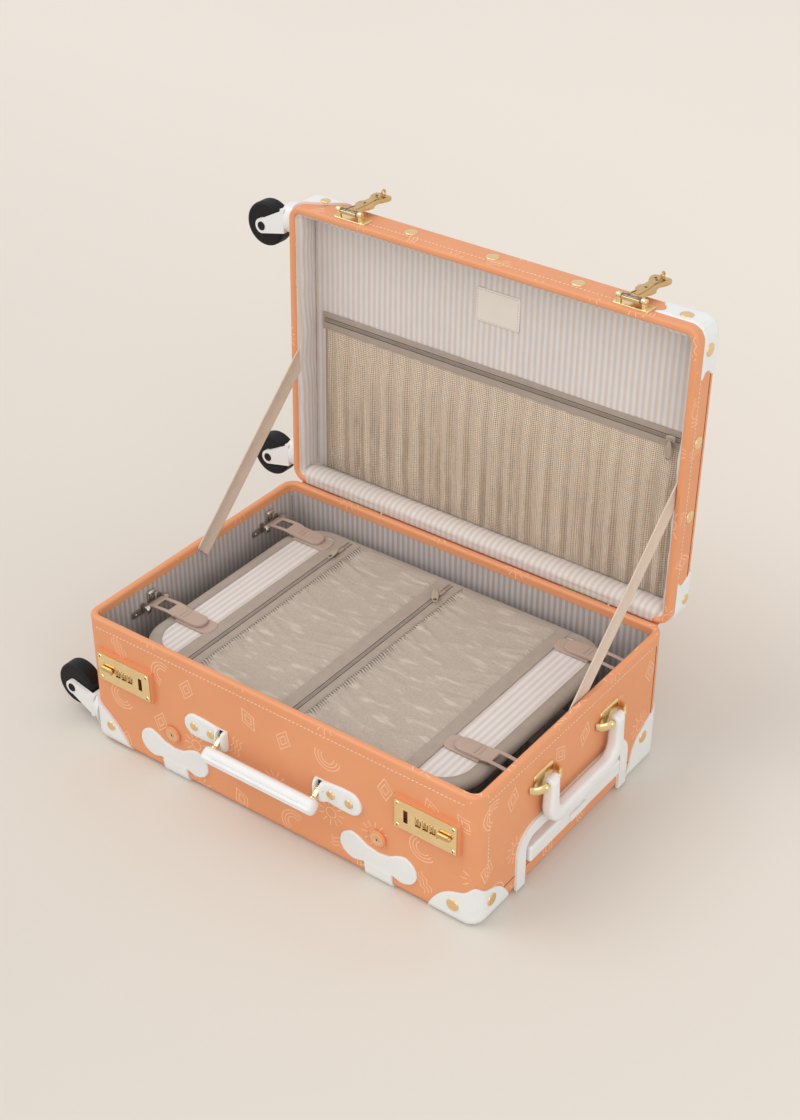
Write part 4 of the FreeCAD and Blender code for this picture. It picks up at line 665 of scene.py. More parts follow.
def plate(outline, thick, edge, crown=0.0):
    """Flat piece of leather or sheet over a 2-D outline: (a, b) to (a, b, height), with a rounded edge."""
    inward = []
    for (a0, b0), (a1, b1) in zip(outline[-1:] + outline, outline[1:] + outline[:1]):
        length = math.hypot(a1 - a0, b1 - b0) or 1
        inward.append(((b0 - b1) / length, (a1 - a0) / length))
    rings = []
    for inset, height in ((0.0, 0.0), (0.0, thick - edge), (edge * 0.3, thick - edge * 0.3), (edge, thick),
                          (edge * 3, thick + crown)):
        rings.append([(a + away_a * inset, b + away_b * inset, height)
                      for (a, b), (away_a, away_b) in zip(outline, inward)])
    return loft(rings, caps=True)


def stitches(name, path, up, material, body, length=3.2, gap=1.6, thick=0.45):
    """Row of thread stitches along a path, each a small rounded bead that dips at its ends."""
    shape = Shape()
    path = [Vector(point) for point in path]
    up = Vector(up)
    travelled = 0.0
    next_start = gap
    for start, end in zip(path, path[1:]):
        run = (end - start).length
        if run < 1e-6:
            continue
        along = (end - start) / run
        side = along.cross(up).normalized()
        while next_start + length / 2 <= travelled + run:
            middle = start + along * (next_start + length / 2 - travelled)

            def place(row, column):
                share = 2 * row - 1
                radius = thick * math.sqrt(max(0.0, 1 - share * share * 0.85))
                angle = FULL_TURN * column
                return (middle + along * (share * length / 2) + side * (radius * math.cos(angle))
                        + up * (radius * math.sin(angle)))

            shape.join(sleeve(4, 5, place))
            next_start += length + gap
        travelled += run
    shape.build(name, material, body)


def dress(material, slot, *names, rounding=0.0):
    """Give CAD nodes a finished material, and their edges a rounding in millimetres."""
    for name in names:
        shown = nodes[name]
        shown.data.materials.clear()
        shown.data.materials.append(material)
        shade_smooth(shown.data, 32)
        if rounding:
            edges = shown.modifiers.new("rounded_edges", "BEVEL")
            edges.width = rounding * MM
            edges.segments = 3
            edges.limit_method = "ANGLE"
            edges.angle_limit = math.radians(40)
        sharp = shown.modifiers.new("even_shading", "WEIGHTED_NORMAL")
        sharp.keep_sharp = True


CASTERS = ("base_front", "base_back", "lid_front", "lid_back")
DIALS = {"%s_%d" % (side, number): number for side, _ in SIDES for number in (1, 2, 3)}
dress(ORANGE, "orange_leather", "base_walls", "base_bottom", "lid_walls", "lid_panel", "base_rim", "lid_rim")
dress(ORANGE_PLAIN, "orange_leather", "lock_pads", rounding=1.2)
dress(WHITE_PLASTIC, "white_plastic", "base_caster_housings", "lid_caster_housings")
dress(WHITE_PLASTIC, "white_plastic", "trolley_bezel", "trolley_grip", rounding=1.2)
dress(WHITE_PLASTIC, "white_plastic", "trolley_button", rounding=1.0)
dress(GOLD, "gold_metal", "lock_plates")
dress(DARK_GOLD, "gold_metal", "hinge_base_leaves", "hinge_lid_leaves")
dress(STEEL, "steel", "trolley_outer_tubes", "trolley_inner_tubes")
dress(WHITE_PLASTIC, "fork_plastic", *["caster_fork_" + corner for corner in CASTERS])
dress(RUBBER, "wheel_rubber", *["caster_wheel_" + corner for corner in CASTERS])
dress(DARK_GOLD, "dial", *["lock_dial_" + dial for dial in DIALS])


# Lining of the base

LINING_OUTLINE = rounded_outline(INSIDE_LENGTH, INSIDE_WIDTH, 8, 5.0)
TUNNEL_Y = 62
TUNNEL_HALF = 17
TUNNEL_TOP = 49.5


def outward(x, y):
    """Direction out of the case at a point of the lining's outline, slanting in the corners."""
    pull = Vector((math.copysign(1, x) if abs(abs(x) - INSIDE_LENGTH) < 4 else 0.0,
                   math.copysign(1, y) if abs(abs(y) - INSIDE_WIDTH) < 4 else 0.0))
    return (pull if pull.length else Vector((x, y))).normalized()


def base_lining():
    def wall(row, column):
        x, y = on_ring(LINING_OUTLINE, column)
        z = between(FLOOR_Z, RIM_LOW, row)
        out = max(0.1, 0.7 + ruffle((x, y, z), 34, 0.6) + ruffle((x, y, z * 0.4), 11, 0.35))
        pull = outward(x, y) * out
        return (x + pull.x, y + pull.y, z)

    # The base's lining walls and floor take the darker copy: painted shade inside the case.
    walls = sleeve(22, len(LINING_OUTLINE), wall).build(
        "base_lining_walls", SHADED_LINING, "base", replaces="base_lining", slot="striped_lining")

    def floor(row, column):
        x = between(-INSIDE_LENGTH, INSIDE_LENGTH, row)
        y = between(-INSIDE_WIDTH, INSIDE_WIDTH, column)
        rise = 1 - limited((abs(abs(y) - TUNNEL_Y) - TUNNEL_HALF + 5) / 6)
        rise = rise * rise * (3 - 2 * rise)
        return (x, y, between(FLOOR_Z, TUNNEL_TOP, rise) + ruffle((x, y, 0), 30, 0.5))

    cloth = grid(60, 130, floor).build("base_lining_floor", SHADED_LINING, "base", slot="striped_lining")

    corner_seams = Shape()
    heights = range(int(FLOOR_Z), int(RIM_LOW), 5)
    for sign_x in (-1, 1):
        for sign_y in (-1, 1):
            x = sign_x * (INSIDE_LENGTH - 2.3)
            y = sign_y * (INSIDE_WIDTH - 2.3)
            corner_seams.join(tube([(x + ruffle((x, y, z), 9, 0.4), y, z) for z in heights], 1.1, 8))
    corner_seams.build("base_lining_seams", TAPE, "base", slot="striped_lining")


base_lining()


# Divider panel with its pockets

PANEL_LOW, PANEL_HIGH = node_box("divider_panel")
PANEL_FLOOR = PANEL_LOW.z
PANEL_TOP = PANEL_HIGH.z
PANEL_RADIUS = 48
PANEL_POINTS = 320
BINDING = 15
POCKET_HALF = 138
POCKET_END = 140
TAPE_LAP = 3


def panel_ring(inset, height):
    """Even points round the panel's outline, drawn in by inset, at a height."""
    radius = PANEL_RADIUS - min(inset, PANEL_RADIUS - 4)
    outline = rounded_outline(PANEL_HIGH.x - inset, PANEL_HIGH.y - inset, radius, 3.0)
    points = [Vector((x, y, height)) for x, y in outline]
    return evenly(points + points[:1], PANEL_POINTS)[:-1]


def divider():
    top = PANEL_TOP - 0.6
    pad = [(40, PANEL_FLOOR + 0.6), (6, PANEL_FLOOR + 0.6), (1.5, PANEL_FLOOR + 2.5), (0.6, PANEL_FLOOR + 6),
           (1.5, top - 2), (6, top - 0.2), (14, top), (40, top), (80, top), (120, top), (140, top)]
    panel = loft([panel_ring(*section) for section in pad], caps=True).build(
        "divider_pad", LINING, "base", replaces="divider_panel", slot="striped_lining")

    band = [(BINDING, PANEL_TOP - 0.2), (BINDING - 0.4, PANEL_TOP + 0.4), (8, PANEL_TOP + 0.5),
            (3.2, PANEL_TOP - 0.6), (0.6, PANEL_TOP - 3), (0, PANEL_TOP - 6), (0.6, PANEL_FLOOR + 3),
            (3.2, PANEL_FLOOR + 0.6), (BINDING, PANEL_FLOOR - 0.2)]
    binding = loft([panel_ring(*section) for section in band]).build(
        "divider_binding", TAPE, "base", slot="webbing")
    edge = panel_ring(BINDING - 2, PANEL_TOP + 0.5)
    stitches("divider_binding_stitches", edge + edge[:1], UP, TAPE, "base", 2.6, 1.4, 0.35)


def gathered_net(name, low, high):
    """Net pocket between two x lines: short slanting wrinkles run in from the zip and from the far seam."""
    wrinkles = []
    for side, count in ((0, 24), (1, 15)):
        for number in range(count):
            wrinkles.append((side, (2 * (number + random.uniform(0.1, 0.9)) / count - 1) * POCKET_HALF,
                             random.uniform(12, 46), random.uniform(0.15, 0.5), random.uniform(0.7, 2.2)))

    def place(row, column):
        x = between(low, high, row)
        y = between(-POCKET_HALF, POCKET_HALF, column)
        height = 0.3 + ruffle((x, y, 5), 42, 0.5)
        for side, start, length, slant, rise in wrinkles:
            away = high - x if side else x - low
            offset = y - start + slant * away
            if abs(offset) < 14:
                height += rise * math.exp(-(offset / (2.6 + away * 0.05)) ** 2 - away / length)
        edge = limited(min((x - low) / 4, (high - x) / 4, (POCKET_HALF - abs(y)) / 6))
        return (x, y, PANEL_TOP + 0.6 + edge * (0.7 + height))

    cloth = grid(60, 260, place).build(name, NET, "base", replaces="divider_pockets", slot="mesh")


def strip(name, low, high, height):
    """Flat tape lying on the panel, with its edges turned down."""
    profile = ((low, height - 0.9), (low + 0.5, height), (high - 0.5, height), (high, height - 0.9))
    half = POCKET_HALF + TAPE_LAP

    def place(row, column):
        x, z = on_path(profile, row)
        y = between(-half, half, column)
        return (x, y, z + ruffle((x, y, 0), 26, 0.15))

    tape = grid(3, 90, place).build(name, TAPE, "base", slot="zip_metal")


COIL_PITCH = 1.9
GAP_SHADE_OFFSET = 2.6


def zip_teeth(start, end, up, across):
    """Two rows of coil turns along a straight path between two points."""
    run = (end - start).length
    along = (end - start) / run
    shape = Shape()
    for number in range(int(run / COIL_PITCH)):
        for sign in (-1, 1):
            middle = start + along * (COIL_PITCH * (number + 0.25 + 0.25 * sign)) + across * (sign * 0.85)

            def place(row, column):
                polar = math.pi * row
                angle = FULL_TURN * column
                return (middle + along * (0.62 * math.sin(polar) * math.cos(angle))
                        + across * (1.25 * math.cos(polar)) + up * (0.6 * math.sin(polar) * math.sin(angle)))

            shape.join(sleeve(4, 6, place))
    return shape


def zip_rows(prefix, suffix, body, half, step, coil_lift, seam, place, up, across):
    """Coil, dark lines of painted shade beside it, and stitches of a zip; place(run, offset, lift) is a point
    over its tape.
    """
    lines = Shape()
    for offset in (-GAP_SHADE_OFFSET, GAP_SHADE_OFFSET):
        lines.join(tube([place(run, offset, -0.05) for run in range(-half, half + 1, step)], 0.42, 6))
    lines.build(prefix + "_zip_gap_shadows" + suffix, GAP_SHADE, body, slot="webbing")
    coil = zip_teeth(place(-half, 0, coil_lift), place(half, 0, coil_lift), up, across)
    coil.build(prefix + "_teeth" + suffix, COIL, body, slot="zip_metal")
    row = [place(run, seam, 0.05) for run in range(-half, half + 1, 4)]
    stitches(prefix + "_zip_stitches" + suffix, row, up, TAPE, body, 2.4, 1.4, 0.3)


def divider_zips():
    height = PANEL_TOP + 1.2
    for side, middle in (("left", ZIP_LEFT), ("right", ZIP_RIGHT)):
        strip("divider_tape_" + side, middle - TAPE_NEAR, middle + TAPE_FAR, height)
        zip_rows("divider", "_" + side, "base", POCKET_HALF, 6, 0.2, TAPE_FAR - 1.6,
                 lambda run, offset, lift: Vector((middle + offset, run, height + lift)), UP, ACROSS)
    strip("divider_far_strip", POCKET_END - 2, POCKET_END + 14, PANEL_TOP + 1.0)


divider()
gathered_net("divider_net_left", NET_SEAMS[0], ZIP_RIGHT - TAPE_NEAR + 1)
gathered_net("divider_net_right", NET_SEAMS[1], POCKET_END)
divider_zips()


# Lining and pocket of the lid

LID_INSIDE_LOW = 8
LID_INSIDE_HIGH = BODY_WIDTH - 8
LID_TAPE_MIDDLE = 197
LID_NET_LOW = 9.5
LID_NET_HIGH = LID_TAPE_MIDDLE - 7


def lid_lining():
    def face(row, column):
        x = between(-INSIDE_LENGTH, INSIDE_LENGTH, column)
        u = between(LID_INSIDE_LOW, LID_INSIDE_HIGH, row)
        return in_lid(x, u, LID_FACE + 0.5 + ruffle((x, u, 0), 45, 0.5) + ruffle((x, u * 0.2, 4), 13, 0.3))

    back = grid(70, 130, face).build("lid_lining_face", LINING, "lid", replaces="lid_lining",
                                     slot="striped_lining")

    def wall(row, column):
        x, offset = on_ring(LINING_OUTLINE, column)
        v = 2 + (LID_FACE - 1) * row
        bulge = 15 * math.sqrt(row) * (1 - row)
        swell = 0.3 + bulge * (0.9 + ruffle((x, offset, 0), 40, 0.5)) + ruffle((x, offset, v), 14, 0.3)
        push = outward(x, offset) * (1.0 - swell)
        return in_lid(x + push.x, HALF_WIDTH + offset + push.y, v)

    sides = sleeve(12, len(LINING_OUTLINE), wall).build(
        "lid_lining_sides", LINING, "lid", slot="striped_lining")


# Section of the roll, as distance from the hinge face and height over the lid's rim plane
BOLSTER = ((1.2, -0.15), (4.5, -0.3), (7.6, -0.3), (10.4, -0.4), (13.0, 0.6), (15.2, 3.2), (16.8, 7.2),
           (17.6, 12), (17.2, 18), (15.4, 23), (12.2, 26), (9.6, 25), (8.8, 16), (8.4, 4))


def lid_roll():
    """Padded bolster along the hinge side, lapped over the rim, drawn in a little at each stripe."""
    half = INSIDE_LENGTH - 4
    outline = spline([(u, v, 0) for u, v in BOLSTER + BOLSTER[:1]], 3)[:-1]
    middle = Vector((12, 12, 0))

    def place(row, column):
        x = between(-half, half, row)
        end = min(1.0, (half - abs(x)) / 9)
        close = math.sqrt(max(0.03, 1 - (1 - end) ** 2))
        spot = on_ring(outline, column)
        pleat = 1 + 0.012 * math.sin(FULL_TURN * x / STRIPE_PITCH) + ruffle((x, spot.x, spot.y), 24, 0.05)
        shaped = middle + (spot - middle) * (close * (pleat if spot.x > 9 else 1))
        return in_lid(x, shaped.x, shaped.y)

    roll = sleeve(300, len(outline), place).build("lid_roll", ROLL_LINING, "lid", slot="striped_lining")


def lid_pocket():
    def net_face(row, column):
        x = between(-LID_POCKET_HALF, LID_POCKET_HALF, column)
        u = between(LID_NET_LOW, LID_NET_HIGH, row)
        drift = 2.5 * noise.noise(Vector((x / 60, u / 110, 1)))
        wave = (0.7 * math.sin(FULL_TURN * (x + drift) / LID_FOLD)
                + 0.5 * math.sin(FULL_TURN * (x - 2 * drift) / NARROW_FOLD))
        swell = 1.7 + 0.9 * math.exp(-(u - LID_NET_LOW) / 40) + 0.3 * math.exp(-(LID_NET_HIGH - u) / 25)
        belly = 3.0 * math.sin(math.pi * row) * (0.7 + ruffle((x, u, 0), 90, 0.5))
        edge = limited(min((LID_POCKET_HALF - abs(x)) / 8, row * 8 + 0.2, (1 - row) * 4 + 0.05))
        return in_lid(x, u, LID_FACE - 0.6 - edge * (swell * (1 + wave) + belly))

    cloth = grid(60, 360, net_face).build("lid_net", LID_NET, "lid", replaces="lid_pocket", slot="mesh")
    half = LID_POCKET_HALF + TAPE_LAP
    profile = ((-12, 0.2), (-11.5, 1.2), (8.5, 1.2), (9, 0.2))

    def tape(row, column):
        across, lift = on_path(profile, row)
        x = between(-half, half, column)
        return in_lid(x, LID_TAPE_MIDDLE + across + ruffle((x, 0, 0), 60, 0.3), LID_FACE - lift)

    band = grid(3, 120, tape).build("lid_tape", TAPE, "lid", slot="webbing")
    zip_rows("lid", "", "lid", LID_POCKET_HALF, 8, 0.25, -9.8,
             lambda run, offset, lift: in_lid(run, LID_TAPE_MIDDLE + offset, LID_FACE - 1.15 - lift),
             -LID_ALONG, LID_FRONT)


def lid_patch():
    """Bare sewn-on patch of pale leather near the lid's front edge."""
    half_x, half_u, middle = 27, 19, 275
    leather = plate(rounded_outline(half_x, half_u, 2.5, 3.0), 1.0, 0.4, 0.15)
    leather.mapped(lambda a, b, height: in_lid(a, middle + b, LID_FACE - height), flip=True).build(
        "lid_patch", PATCH, "lid", slot="white_leather")
    inside = rounded_outline(half_x - 2, half_u - 2, 1.5, 3.0)
    edge = [in_lid(a, middle + b, LID_FACE - 1.05) for a, b in inside]
    stitches("lid_patch_stitches", edge + edge[:1], -LID_ALONG, TAPE, "lid", 2.0, 1.2, 0.3)


lid_lining()
lid_roll()
lid_pocket()
lid_patch()


# Stay straps

STAY_REACH = 164
STAY_DEPTH = 13
STAY_HALF = 11


def stay_straps():
    """Webbing with thicker edges, from the base's end walls to the lid's."""
    low = Vector((0, HALF_WIDTH - STAY_REACH, RIM_TOP - STAY_DEPTH))
    high = in_lid(0, STAY_REACH, STAY_DEPTH)
    run = high - low
    across = Vector((0, -run.z, run.y)).normalized()
    half_section = [(8.2, 0.6), (8.5, 0.75), (10.5, 0.75), (STAY_HALF, 0.6), (STAY_HALF, -0.6), (8.2, -0.7)]
    section = [(-offset, lift) for offset, lift in half_section[::-1]] + half_section
    for side, sign in SIDES:
        x = sign * (INSIDE_LENGTH - 1.05)

        def place(row, column):
            offset, lift = on_ring(section, column)
            twist = 0.5 * math.sin(row * 9) * (0.1 + 0.2 * math.sin(row * math.pi))
            point = low + run * row + across * offset
            return (x + lift - sign * twist, point.y, point.z)

        strap = sleeve(60, len(section), place).build("stay_strap_" + side, WEBBING, None,
                                                      replaces="stay_straps", slot="webbing")
        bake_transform(strap)


stay_straps()


# Leather strips that close the gap beside the hinges

HINGE_GAPS = ((-238, -178.4), (-121.4, 121.4), (178.4, 238))


def hinge_leather():
    low = Vector((0, HALF_WIDTH + 0.3, RIM_TOP - 14))
    high = in_lid(0, -0.4, 9)
    path = spline([low, (0, HALF_WIDTH + 0.4, RIM_TOP - 11), (0, HALF_WIDTH + 2.6, RIM_TOP - 8.4),
                   (0, HALF_WIDTH + 6, RIM_TOP - 5.6), in_lid(0, -0.4, 6), high], 4)
    shape = Shape()
    for first, last in HINGE_GAPS:
        shape.join(grid(24, len(path) - 1,
                        lambda row, column: on_path(path, column) + ACROSS * between(first, last, row)))
    strips = shape.build("hinge_leather", ORANGE_PLAIN, None, slot="orange_leather")
    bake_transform(strips)
    height = sum((after - before).length for before, after in zip(path, path[1:]))


hinge_leather()


# Zip sliders with their pulls

SLIDER_HALF = 5.4
PULL_HALF = 11.5
PULL_EYE = 2.2


def slider_shell(row, column):
    """Point of a slider's body, wider towards one end."""
    profile = ((0.0, -1.5), (0.85, -1.5), (1.0, -1.0), (1.0, 0.6), (0.82, 1.3), (0.0, 1.5))
    scale, height = on_path(profile, row)
    along, aside = squared(FULL_TURN * column, 0.55)
    width = 3.0 + (along + 1) / 2
    return (SLIDER_HALF * along * scale, width * aside * scale, height)


def pull_tab(row, column):
    """Point of a flat drop-shaped pull with a round eye."""
    angle = FULL_TURN * column
    a = PULL_HALF * math.cos(angle)
    b = (3.0 + 1.6 * (a + PULL_HALF) / (2 * PULL_HALF)) * math.sin(angle)
    eye = (7.6 + PULL_EYE * math.cos(angle), PULL_EYE * math.sin(angle))
    return on_ring(((*eye, -0.5), (*eye, 0.5), (a * 0.96, b * 0.96, 0.6), (a, b, 0.3), (a, b, -0.3),
                    (a * 0.96, b * 0.96, -0.6)), row)


def zip_slider(prefix, suffix, along, up, hang):
    """Slider body with a bridge, and a flat pull hanging from it."""
    body = prefix + "_zip" + suffix
    node = prefix + "_zip_slider" + suffix
    low, high = node_box(node)
    turn = Matrix((along, along.cross(up), up)).transposed().to_4x4()
    seat = Matrix.Translation((low + high) / 2) @ turn
    bridge = [(-3.6, 0, 1.2), (-3.0, 0, 2.6), (-0.5, 0, 3.3), (2.0, 0, 2.7), (3.0, 0, 1.2)]
    shape = sleeve(5, 28, slider_shell).join(tube(spline(bridge, 5), 0.75, 8))
    shape.moved(seat).build(prefix + "_slider" + suffix, PAINTED, body, replaces=node, slot="zip_metal")
    pull = grid(6, 36, pull_tab, closed_rows=True, closed_columns=True)
    pull.moved(seat @ hang).build(prefix + "_pull" + suffix, PAINTED, body, slot="zip_metal")


def zip_sliders():
    for side, turn in (("left", 172), ("right", 146)):
        lean = (Matrix.Translation((-11, 0, 2.4)) @ Matrix.Rotation(math.radians(-6), 4, "Y")
                @ Matrix.Rotation(math.radians(turn), 4, "Z"))
        zip_slider("divider", "_" + side, Vector((0, 1, 0)), UP, lean)
    hang = Matrix.Translation((0, 12.5, 2.4)) @ Matrix.Rotation(QUARTER, 4, "Z")
    zip_slider("lid", "", ACROSS, -LID_ALONG, hang)


zip_sliders()


# Leather corners, wrapped round the shell

COVER_THICK = 1.5
COVER_EDGE = 1.2
# Height of a base cover by distance from the upright edge
FRONT_COVER = ((0, 51), (5, 47), (11, 42.5), (18, 39.5), (27, 36), (36, 30), (44, 21), (50, 11), (55, 0))
BACK_COVER = ((0, 66), (6, 65), (16, 61), (28, 54), (40, 46), (46, 40), (51, 31), (55, 18), (62, 0))
# Reach of a lid cover by distance from its edge at the rim
LID_COVER = ((0, 54), (2, 51), (5, 47.5), (9, 46.5), (14, 48), (20, 53), (25, 55.5), (30, 54), (35, 49),
             (40, 43))
LID_COVER_LAP = 4
LID_BACK_SCALE = 46 / 53


def on_shell(along, up, lift, bottom_round):
    """Place on a corner of the shell: along the walls from the upright edge, and up from the bottom's rim.

    Returns distances from the corner's two faces and from the bottom, for a corner at (0, 0, 0)
    whose faces run towards +a and +b.
    """
    arc = CORNER_RADIUS * QUARTER
    roll = bottom_round * QUARTER
    turn = limited((along + arc / 2) / arc) * QUARTER
    past = max(0.0, abs(along) - arc / 2)
    tilt = max(0.0, roll - up) / bottom_round
    inset = bottom_round * (1 - math.cos(tilt)) - lift * math.cos(tilt)
    height = bottom_round * (1 - math.sin(tilt)) + max(0.0, up - roll) - lift * math.sin(tilt)
    normal_a, normal_b = math.sin(turn), math.cos(turn)
    a = CORNER_RADIUS * (1 - normal_a) + inset * normal_a
    b = CORNER_RADIUS * (1 - normal_b) + inset * normal_b
    return (a, b + past, height) if along > 0 else (a + past, b, height)


def cover_lift(share, along, crease):
    """Height of a cover over the shell for a share of its thickness, with a crease at the upright edge."""
    return COVER_THICK * share + 0.05 + crease * math.exp(-(along / 1.1) ** 2)


def base_covers():
    """Corners with a pointed upright edge and swept sides."""
    for name, sign, outline in (("front", -1, FRONT_COVER), ("back", 1, BACK_COVER)):
        reach = outline[-1][0]

        def place(row, column):
            along = between(-reach, reach, column)
            top = along_curve(outline, abs(along)) + BOTTOM_ROUND * (QUARTER - 1)
            roll = max(0.0, row - 0.92) / 0.08
            share = (1 - roll ** 2) * limited((reach - abs(along)) / COVER_EDGE) ** 0.5
            return on_shell(along, top * min(1.0, row / 0.92), cover_lift(share, along, 0.5), BOTTOM_ROUND)

        def in_corner(a, b, height):
            return (HALF_LENGTH - a, sign * (HALF_WIDTH - b), max(height, -0.3))

        grid(36, 130, place).mapped(in_corner, flip=sign > 0).build(
            "base_cover_" + name, WHITE_LEATHER, "base", replaces="base_corner_covers", slot="white_leather")


def lid_covers():
    """Corners over the lid's depth, with a swept edge on both walls and a rounded lap on the panel."""
    top = LID_DEPTH - LID_RIM - 1.5 + LID_ROUND * (QUARTER - 1)
    deep = top + LID_COVER_LAP
    for name, scale in (("front", 1.0), ("back", LID_BACK_SCALE)):
        def place(row, column):
            up = deep * row - LID_COVER_LAP
            reach = along_curve(LID_COVER, top - up) * scale
            along = between(-reach, reach, column)
            edge = min((reach - abs(along)) / COVER_EDGE, row * deep, (1 - row) * deep)
            return on_shell(along, up, cover_lift(limited(edge) ** 0.5, along, 0.4), LID_ROUND)

        def in_corner(a, b, height):
            return in_lid(HALF_LENGTH - a, BODY_WIDTH - b if name == "front" else b, LID_DEPTH - height)

        grid(48, 90, place).mapped(in_corner).build(
            "lid_cover_" + name, WHITE_LEATHER, "lid", replaces="lid_corner_covers", slot="white_leather")


base_covers()
lid_covers()


# Rivets, studs and screws

HOUSING_THICK = 3
# Along x, over the rim plane, and radius: the rivet on the lid's front housing
HOUSING_RIVET = (-220, 27, 5.6)
RIVET_LOWEST = 1.2
RIVET_HIGHEST = 6
RIVET_WIDEST = 24
STUD_RADIUS = 9
SCREW_WIDEST = 6
SCREW_FACE = -175.5


def islands(name):
    """Low and high corners of each loose part of a node's mesh, in millimetres."""
    mesh = nodes[name].data
    parent = list(range(len(mesh.vertices)))

    def root(number):
        while parent[number] != number:
            parent[number] = parent[parent[number]]
            number = parent[number]
        return number

    for edge in mesh.edges:
        parent[root(edge.vertices[0])] = root(edge.vertices[1])
    groups = {}
    for vertex in mesh.vertices:
        groups.setdefault(root(vertex.index), []).append(vertex.co / MM)
    return [(Vector([min(axis) for axis in zip(*points)]), Vector([max(axis) for axis in zip(*points)]))
            for points in groups.values()]


def rivet_seats(name):
    """Centre of the foot, outward normal and radius of each rivet or stud of a node."""
    made = []
    for low, high in islands(name):
        size = high - low
        if min(size) < RIVET_LOWEST or max(size) > RIVET_WIDEST:
            continue
        middle = (low + high) / 2
        if size.x < RIVET_HIGHEST:
            normal = Vector((math.copysign(1, middle.x), 0, 0))
        elif name == "lid_rivets":
            normal = LID_FRONT
        else:
            normal = Vector((0, math.copysign(1, middle.y), 0))
        made.append((middle - normal * (min(size) / 2), normal, max(size) / 2))
    return made


def rivets():
    for body in ("base", "lid"):
        seats = rivet_seats(body + "_rivets")
        if body == "lid":
            x, height, radius = HOUSING_RIVET
            seats.append((in_lid(x, BODY_WIDTH + HOUSING_THICK, height), LID_FRONT, radius))
        shape = Shape()
        for foot, normal, radius in seats:
            if radius > STUD_RADIUS:
                continue
            head = lathe([(radius, -0.4), (radius, 0.5), (radius * 0.95, 1.0), (radius * 0.85, 1.3),
                          (radius * 0.5, 1.5), (0.01, 1.6)])
            shape.join(head.at(normal, foot))
        shape.build(body + "_rivet_heads", BRASS, body, replaces=body + "_rivets", slot="gold_metal")


def slit(half_a, half_b, thick, edge):
    return plate([(-half_a, -half_b), (half_a, -half_b), (half_a, half_b), (-half_a, half_b)], thick, edge)


def studs():
    """Leather-covered strap studs: an orange washer with a tan face, a metal eye and a slit drawn as a dark
    plate of painted shade.
    """
    rims, faces, eyes, slit_shades = Shape(), Shape(), Shape(), Shape()
    for foot, normal, radius in rivet_seats("base_rivets"):
        if radius < STUD_RADIUS:
            continue
        rim = lathe([(radius - 0.6, 0), (radius, 0.6), (radius, 2.6), (radius - 0.5, 3.4),
                     (radius - 1.3, 3.8), (radius - 2, 3.7)], 40)
        face = lathe([(radius - 1.8, 3.6), (radius - 4, 3.9), (2.8, 3.8), (2.4, 3.4)], 40)
        eye = lathe([(2.7, 3.4), (2.6, 4.0), (2.0, 4.1), (1.6, 3.7), (0.01, 3.6)], 24)
        rims.join(rim.at(normal, foot))
        faces.join(face.at(normal, foot))
        eyes.join(eye.at(normal, foot))
        slit_shades.join(slit(0.5, 1.5, 0.3, 0.08).at(normal, foot + normal * 3.62))
    rims.build("stud_rims", ORANGE_PLAIN, "base", slot="orange_leather")
    faces.build("stud_faces", TAN, "base", slot="orange_leather")
    eyes.build("stud_eyes", BRASS, "base", slot="gold_metal")
    slit_shades.build("stud_slit_shades", DARK_PRINT_AND_SHADE, "base", slot="steel")


def lock_screws():
    """Screw slots on the heads at the corners of the lock plates, drawn as dark plates of painted shade."""
    slit_shades = Shape()
    for low, high in islands("lock_plates"):
        size = high - low
        if max(size.x, size.z) > SCREW_WIDEST or low.y > SCREW_FACE or abs(size.x - size.z) > 0.3:
            continue
        turn = Matrix.Rotation(math.radians(random.uniform(20, 160)), 4, "Z")
        centre = ((low.x + high.x) / 2, low.y, (low.z + high.z) / 2)
        slit_shades.join(slit(1.4, 0.28, 0.12, 0.03).moved(turn).at((0, -1, 0), centre))
    slit_shades.build("lock_screw_slot_shades", DARK_PRINT_AND_SHADE, "base", slot="steel")


rivets()
studs()
lock_screws()


# Bows and front grip

BOW_X = 134
BOW_HALF = 17
BOW_STRAIGHT = 12
BOW_TRAVEL = 44
# Outline of a bow's right half, from its strap round the wing to the notch in the middle
BOW_WING = ((BOW_HALF, 18.5), (20, 18), (30, 15.5), (41, 20), (46.5, 30), (44, 42), (34, 49), (24, 47),
            (13, 41))


def bows():
    """Bow-shaped straps below the studs, running down and under the bottom edge."""
    right = [(BOW_HALF, 13)] + [(p.x, p.y) for p in spline([(a, b, 0) for a, b in BOW_WING], 6)]
    bow = plate(right + [(0, 38.5)] + [(-a, b) for a, b in right[::-1]], 2.0, 0.7)
    roll = BOTTOM_ROUND * QUARTER
    for name, sign in SIDES:
        middle = sign * BOW_X

        def wrap(row, column):
            x = middle + between(-BOW_HALF, BOW_HALF, column)
            travel = BOW_TRAVEL * row
            edge = limited((BOW_HALF - abs(x - middle)) / 0.8)
            thick = 0.2 + (1.75 + 0.3 * min(1.0, travel / 4)) * edge ** 0.5
            if travel < BOW_STRAIGHT:
                return (x, -HALF_WIDTH - thick, BOTTOM_ROUND + BOW_STRAIGHT - travel)
            turn = min(1.0, (travel - BOW_STRAIGHT) / roll) * QUARTER
            beyond = max(0.0, travel - BOW_STRAIGHT - roll)
            radius = BOTTOM_ROUND + (min(thick, 0.35) if beyond else thick)
            return (x, -HALF_WIDTH + BOTTOM_ROUND - radius * math.cos(turn) + beyond,
                    max(-0.35, BOTTOM_ROUND - radius * math.sin(turn)))

        bow.mapped(lambda a, b, height: (middle + a, -HALF_WIDTH - height, b)).build(
            "bow_" + name, WHITE_LEATHER, "base", replaces="strap_bows", slot="white_leather")
        grid(40, 24, wrap).build("bow_strap_" + name, WHITE_LEATHER, "base", slot="white_leather")


